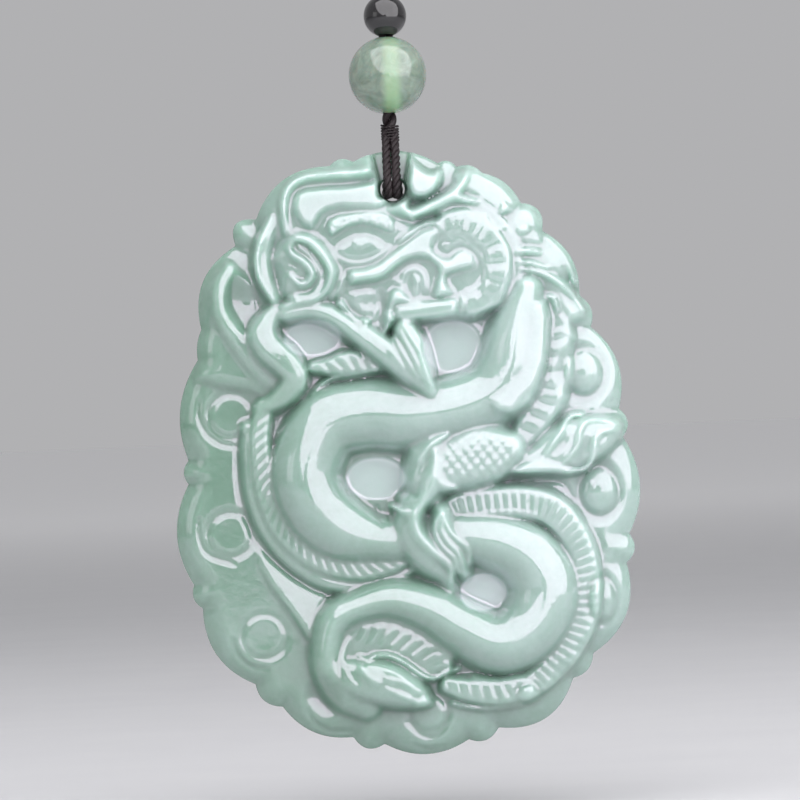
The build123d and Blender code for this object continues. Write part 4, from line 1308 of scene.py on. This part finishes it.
def plaque_mesh():
    """The whole plaque before it is drilled, and the grids that colour it with painted light and shade and
    roughen its seat.
    """
    corners = outline()
    low, high = corners.min(axis=0) - 1, corners.max(axis=0) + 1
    xs = np.arange(low[0], high[0], carving_step)
    zs = np.arange(low[1], high[1], carving_step)
    x, z = np.meshgrid(xs, zs, indexing="ij")
    inside = depth_inside(x, z, corners)
    height, seat = carve(xs, zs, inside)

    # The carved front on the grid, and the band of triangles out to the rim's lip
    cells, used, faces, edges = net(inside > lip_inset + 0.6 * carving_step)
    flat = np.column_stack([x[used], z[used]])
    vertices = [np.column_stack([x[used], ground_y - height[used], z[used]])]
    border = np.unique(edges)
    rim = fine_outline()
    count, first = len(rim), len(flat)
    ring = inward(rim, lip_inset)
    band, middles = stitch(flat[border], np.searchsorted(border, edges).tolist(), ring)
    cell = ((middles - (xs[0], zs[0])) / carving_step).astype(int)
    i, j = np.clip(cell, 0, np.array(cells.shape) - 1).T
    numbers = np.concatenate([border, first + np.arange(count)])
    faces += numbers[band[~cells[i, j]]].tolist()

    # The rim, from the lip to the back edge, and the back
    lip_y = ground_y - sample(height, xs, zs, *ring.T)
    rows = [(inset, lip_y + drop) for inset, drop in LIP]
    rows += [(inset, np.full(count, back_y - rise)) for inset, rise in BACK_EDGE]
    for inset, y in rows:
        moved = inward(rim, inset)
        vertices.append(np.column_stack([moved[:, 0], y, moved[:, 1]]))
    faces += bands(len(rows), count, first)
    back, _ = stitch([], [], inward(rim, rows[-1][0]))
    faces += (first + (len(rows) - 1) * count + back[:, ::-1]).tolist()

    mesh = bpy.data.meshes.new("carved_plaque")
    mesh.from_pydata((np.vstack(vertices) * MM).tolist(), [], faces)
    mesh.validate()
    # Painted shade in the recesses and painted light on the ridges, from the relief against its blur
    relief_shade_grid = np.clip((height - blur(height, cavity_passes)) / cavity_depth, -1, 1)
    # Painted light: the higher the relief, the paler it is painted
    height_light_grid = np.clip(height / relief_height, 0, 1)
    # Painted light: the thin ovals are painted paler, for light showing through the stone
    thin = np.zeros(height.shape)
    for across, up, half_across, half_up in PALE:
        x0, z0 = place(across, up)
        reach = np.hypot((x - x0) / wide(half_across), (z - z0) / tall(half_up))
        thin = np.maximum(thin, np.clip((pale_reach - reach) / pale_fade, 0, 1))
    return mesh, xs, zs, {"cavity": relief_shade_grid, "level": height_light_grid, "pale": thin, "seat": seat}


def hole_cutter():
    """The drill, wider at both mouths, about the hole's axis."""
    mouth, flare, steps = seat_inner / 2, 0.14, 48
    widest = flare + 0.1
    profile = [(-plate_depth, widest), (-mouth - 0.3, widest), (-mouth, flare), (-mouth + 0.25, 0.06)]
    profile += [(-mouth + 0.5, 0), (mouth - 0.5, 0)] + [(-y, out) for y, out in reversed(profile)]
    vertices = []
    for y, out in profile:
        for step in range(steps):
            angle, radius = 2 * math.pi * step / steps, hole_radius + out
            at = (radius * math.cos(angle), hang_y + y, hole_z + radius * math.sin(angle))
            vertices.append(Vector(at) * MM)
    last = (len(profile) - 1) * steps
    ends = [tuple(range(steps)), tuple(range(last, last + steps))]
    return new_mesh("drill", vertices, bands(len(profile), steps) + ends)


def seat_cutter():
    """What is ground off the back above the hole: behind a cone, within a fan."""
    deep_at_axis = seat_inner / 2 + seat_slope * hole_radius
    spare_turn, least_depth = 2, 0.2
    low, far = strand_diameter + 2 * loop_gap, 1.6 * hole_to_rim
    top = low + far * math.tan(math.radians(swing + spare_turn))
    fan = [(top * (-1 + 2 * step / 8), far) for step in range(9)]
    fan += [(low * (1 - step / 4), -hole_radius / 2) for step in range(9)]
    count = len(fan)
    near = [(x, max(deep_at_axis - seat_slope * math.hypot(x, z), least_depth), z) for x, z in fan]
    points = near + [(x, plate_depth + relief_height, z) for x, z in fan] + [(0, deep_at_axis, 0)]
    vertices = [Vector((x, hang_y + y, hole_z + z)) * MM for x, y, z in points]
    faces = bands(2, count) + [(i, (i + 1) % count, 2 * count) for i in range(count)]
    faces.append(tuple(range(count, 2 * count)))
    return new_mesh("seat", vertices, faces)


def make_plaque():
    """The plaque, drilled and ground at the back, with its painted light and shade and its ground-off seat
    as numbers at its points.
    """
    mesh, xs, zs, shades = plaque_mesh()
    piece = new_object("carved_jade_plaque", mesh)
    for cutter_mesh in (hole_cutter(), seat_cutter()):
        cutter = new_object("cutter", cutter_mesh)
        modifier = piece.modifiers.new("cut", "BOOLEAN")
        modifier.operation, modifier.solver, modifier.object = "DIFFERENCE", "MANIFOLD", cutter
        ready = piece.evaluated_get(bpy.context.evaluated_depsgraph_get())
        cut = bpy.data.meshes.new_from_object(ready)
        piece.modifiers.clear()
        piece.data = cut
        bpy.data.objects.remove(cutter)
    mesh = piece.data
    mesh.name = "carved_jade_plaque"
    co = np.empty(len(mesh.vertices) * 3)
    mesh.vertices.foreach_get("co", co)
    co = co.reshape(-1, 3) / MM
    front = co[:, 1] < hang_y
    for name, grid in shades.items():
        values = np.where(front, sample(grid, xs, zs, co[:, 0], co[:, 2]), 0)
        mesh.attributes.new(name, "FLOAT", "POINT").data.foreach_set("value", values.astype(np.float32))
    mesh.shade_smooth()
    mesh.set_sharp_from_angle(angle=math.radians(plaque_crease))
    mesh.materials.clear()
    mesh.materials.append(jade_material())
    dress(piece, "plaque", "jade", "jade_pendant")


# The studio: the picture's width where the plaque hangs, its lens and sensor, its lean in degrees,
# its middle, what the lights face, and the floor, in millimetres
picture_width = 82.05
picture_lens = 250
picture_sensor = 36
lean = 2.52
picture_middle = (-0.18, -250.5)
lit_middle = (0, hang_y, plaque_middle_z)
floor_z = -293
floor_reach = 6000

# The umbrella: its distance, its strength, its rows of points from its near edge outwards, and in
# degrees the tilt of its near edge and of its far edge, which gains towards the middle, and the
# turn of its right and left ends, which gain towards the near edge
umbrella_away = 700
umbrella_radiance = 2.12
umbrella_rows, umbrella_columns = 24, 36
umbrella_near = 7
umbrella_far, umbrella_far_gain = 55, 39
umbrella_right, umbrella_right_gain = -28, -45
umbrella_left, umbrella_left_gain = 120, 40


def make_camera():
    """The photo's view: level and from the front, turned a little on its own axis."""
    data = bpy.data.cameras.new("camera")
    data.lens, data.sensor_width = picture_lens, picture_sensor
    data.clip_start, data.clip_end = 0.01, 10
    camera = new_object("camera", data)
    c, s = math.cos(math.radians(lean)), math.sin(math.radians(lean))
    away = picture_width * picture_lens / picture_sensor
    turn = Matrix(((c, s, 0), (0, 0, -1), (-s, c, 0))).to_4x4()
    x, z = picture_middle
    camera.matrix_world = Matrix.Translation(Vector((x, hang_y - away, z)) * MM) @ turn
    bpy.context.scene.camera = camera


def make_floor():
    """A wide pale floor, paler far behind so that it melts into the light behind it."""
    corners = [(x * floor_reach, y * floor_reach, floor_z) for x, y in ((-1, -1), (1, -1), (1, 1), (-1, 1))]
    mesh = bpy.data.meshes.new("floor")
    mesh.from_pydata(to_metres(corners), [], [(0, 1, 2, 3)])
    material, g, where, feed = new_material("studio_paper", {"Roughness": 0.85})
    behind = g.add("ShaderNodeSeparateXYZ", None, {0: where}, out="Y")
    paper = g.mix(g.noise(where, 60, 4), colour(186, 187, 189), colour(192, 193, 194))
    feed("Base Color", g.mix(g.between(behind, 0.3, 1.6), paper, colour(253, 253, 254)))
    mesh.materials.append(material)
    new_object("floor", mesh)


def make_light(name, at, aim, width, height, radiance):
    """A softbox: where it is and what it faces, in millimetres."""
    data = bpy.data.lights.new(name, "AREA")
    data.shape, data.size, data.size_y = "RECTANGLE", width * MM, height * MM
    data.energy = radiance * math.pi * data.size * data.size_y
    lamp = new_object(name, data)
    at, aim = Vector(at) * MM, Vector(aim) * MM
    lamp.matrix_world = Matrix.Translation(at) @ (aim - at).to_track_quat("-Z", "Y").to_matrix().to_4x4()
    lamp.visible_camera = False


def make_umbrella():
    """One great curved softbox, from above the camera over to its right, round the plaque."""
    vertices = []
    for row in range(umbrella_rows + 1):
        near = 1 - row / umbrella_rows
        right = umbrella_right + umbrella_right_gain * near ** 3
        left = umbrella_left + umbrella_left_gain * near
        for column in range(umbrella_columns + 1):
            share = column / umbrella_columns
            far = umbrella_far + umbrella_far_gain * min(1, 2 * share)
            tilt = math.radians(umbrella_near + (far - umbrella_near) * row / umbrella_rows)
            turn = math.radians(right + (left - right) * share)
            out = Vector((
                math.sin(tilt) * math.cos(turn), -math.cos(tilt), math.sin(tilt) * math.sin(turn),
            ))
            vertices.append((Vector(lit_middle) + umbrella_away * out) * MM)
    mesh = bpy.data.meshes.new("umbrella")
    mesh.from_pydata(vertices, [], bands(umbrella_rows + 1, umbrella_columns + 1, closed=False))
    material, g, where, feed = new_material("umbrella_cloth", {"Emission Strength": umbrella_radiance})
    feed("Emission Color", g.mix(g.noise(where, 3, 1), (0.99, 0.97, 1.0, 1), (1.0, 0.98, 1.0, 1)))
    mesh.materials.append(material)
    umbrella = new_object("umbrella", mesh)
    umbrella.visible_camera = False


def make_studio():
    """The umbrella, a small softbox from the left and a pale even light all round."""
    make_umbrella()
    make_light("left_fill", at=(-620, -560, -120), aim=lit_middle, width=300, height=300, radiance=0.8)
    world = bpy.data.worlds.new("studio")
    world.use_nodes = True
    world.node_tree.nodes["Background"].inputs["Color"].default_value = (0.44, 0.44, 0.45, 1)
    world.node_tree.nodes["Background"].inputs["Strength"].default_value = 1.0
    bpy.context.scene.world = world


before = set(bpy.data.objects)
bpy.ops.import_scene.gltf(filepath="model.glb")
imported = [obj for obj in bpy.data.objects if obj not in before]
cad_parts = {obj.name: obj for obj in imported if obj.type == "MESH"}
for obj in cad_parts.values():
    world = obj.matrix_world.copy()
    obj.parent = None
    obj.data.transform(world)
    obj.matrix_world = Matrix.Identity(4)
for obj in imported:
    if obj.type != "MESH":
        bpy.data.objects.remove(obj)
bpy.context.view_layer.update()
make_camera()
cord_look = cord_material()
strands = strand_tree()
make_neck_cord()
make_loop()
make_binding()
make_bead(
    "drilled_jade_bead", jade_bead_diameter, jade_bead_diameter, jade_bead_z, bead_material(),
    "bead_jade", "jade_bead",
)
make_bead(
    "drilled_black_bead", black_bead_diameter, black_bead_height, black_bead_z, black_material(),
    "black_stone", "black_bead",
)
make_plaque()
make_floor()
make_studio()
bpy.context.scene.view_settings.view_transform = "Standard"
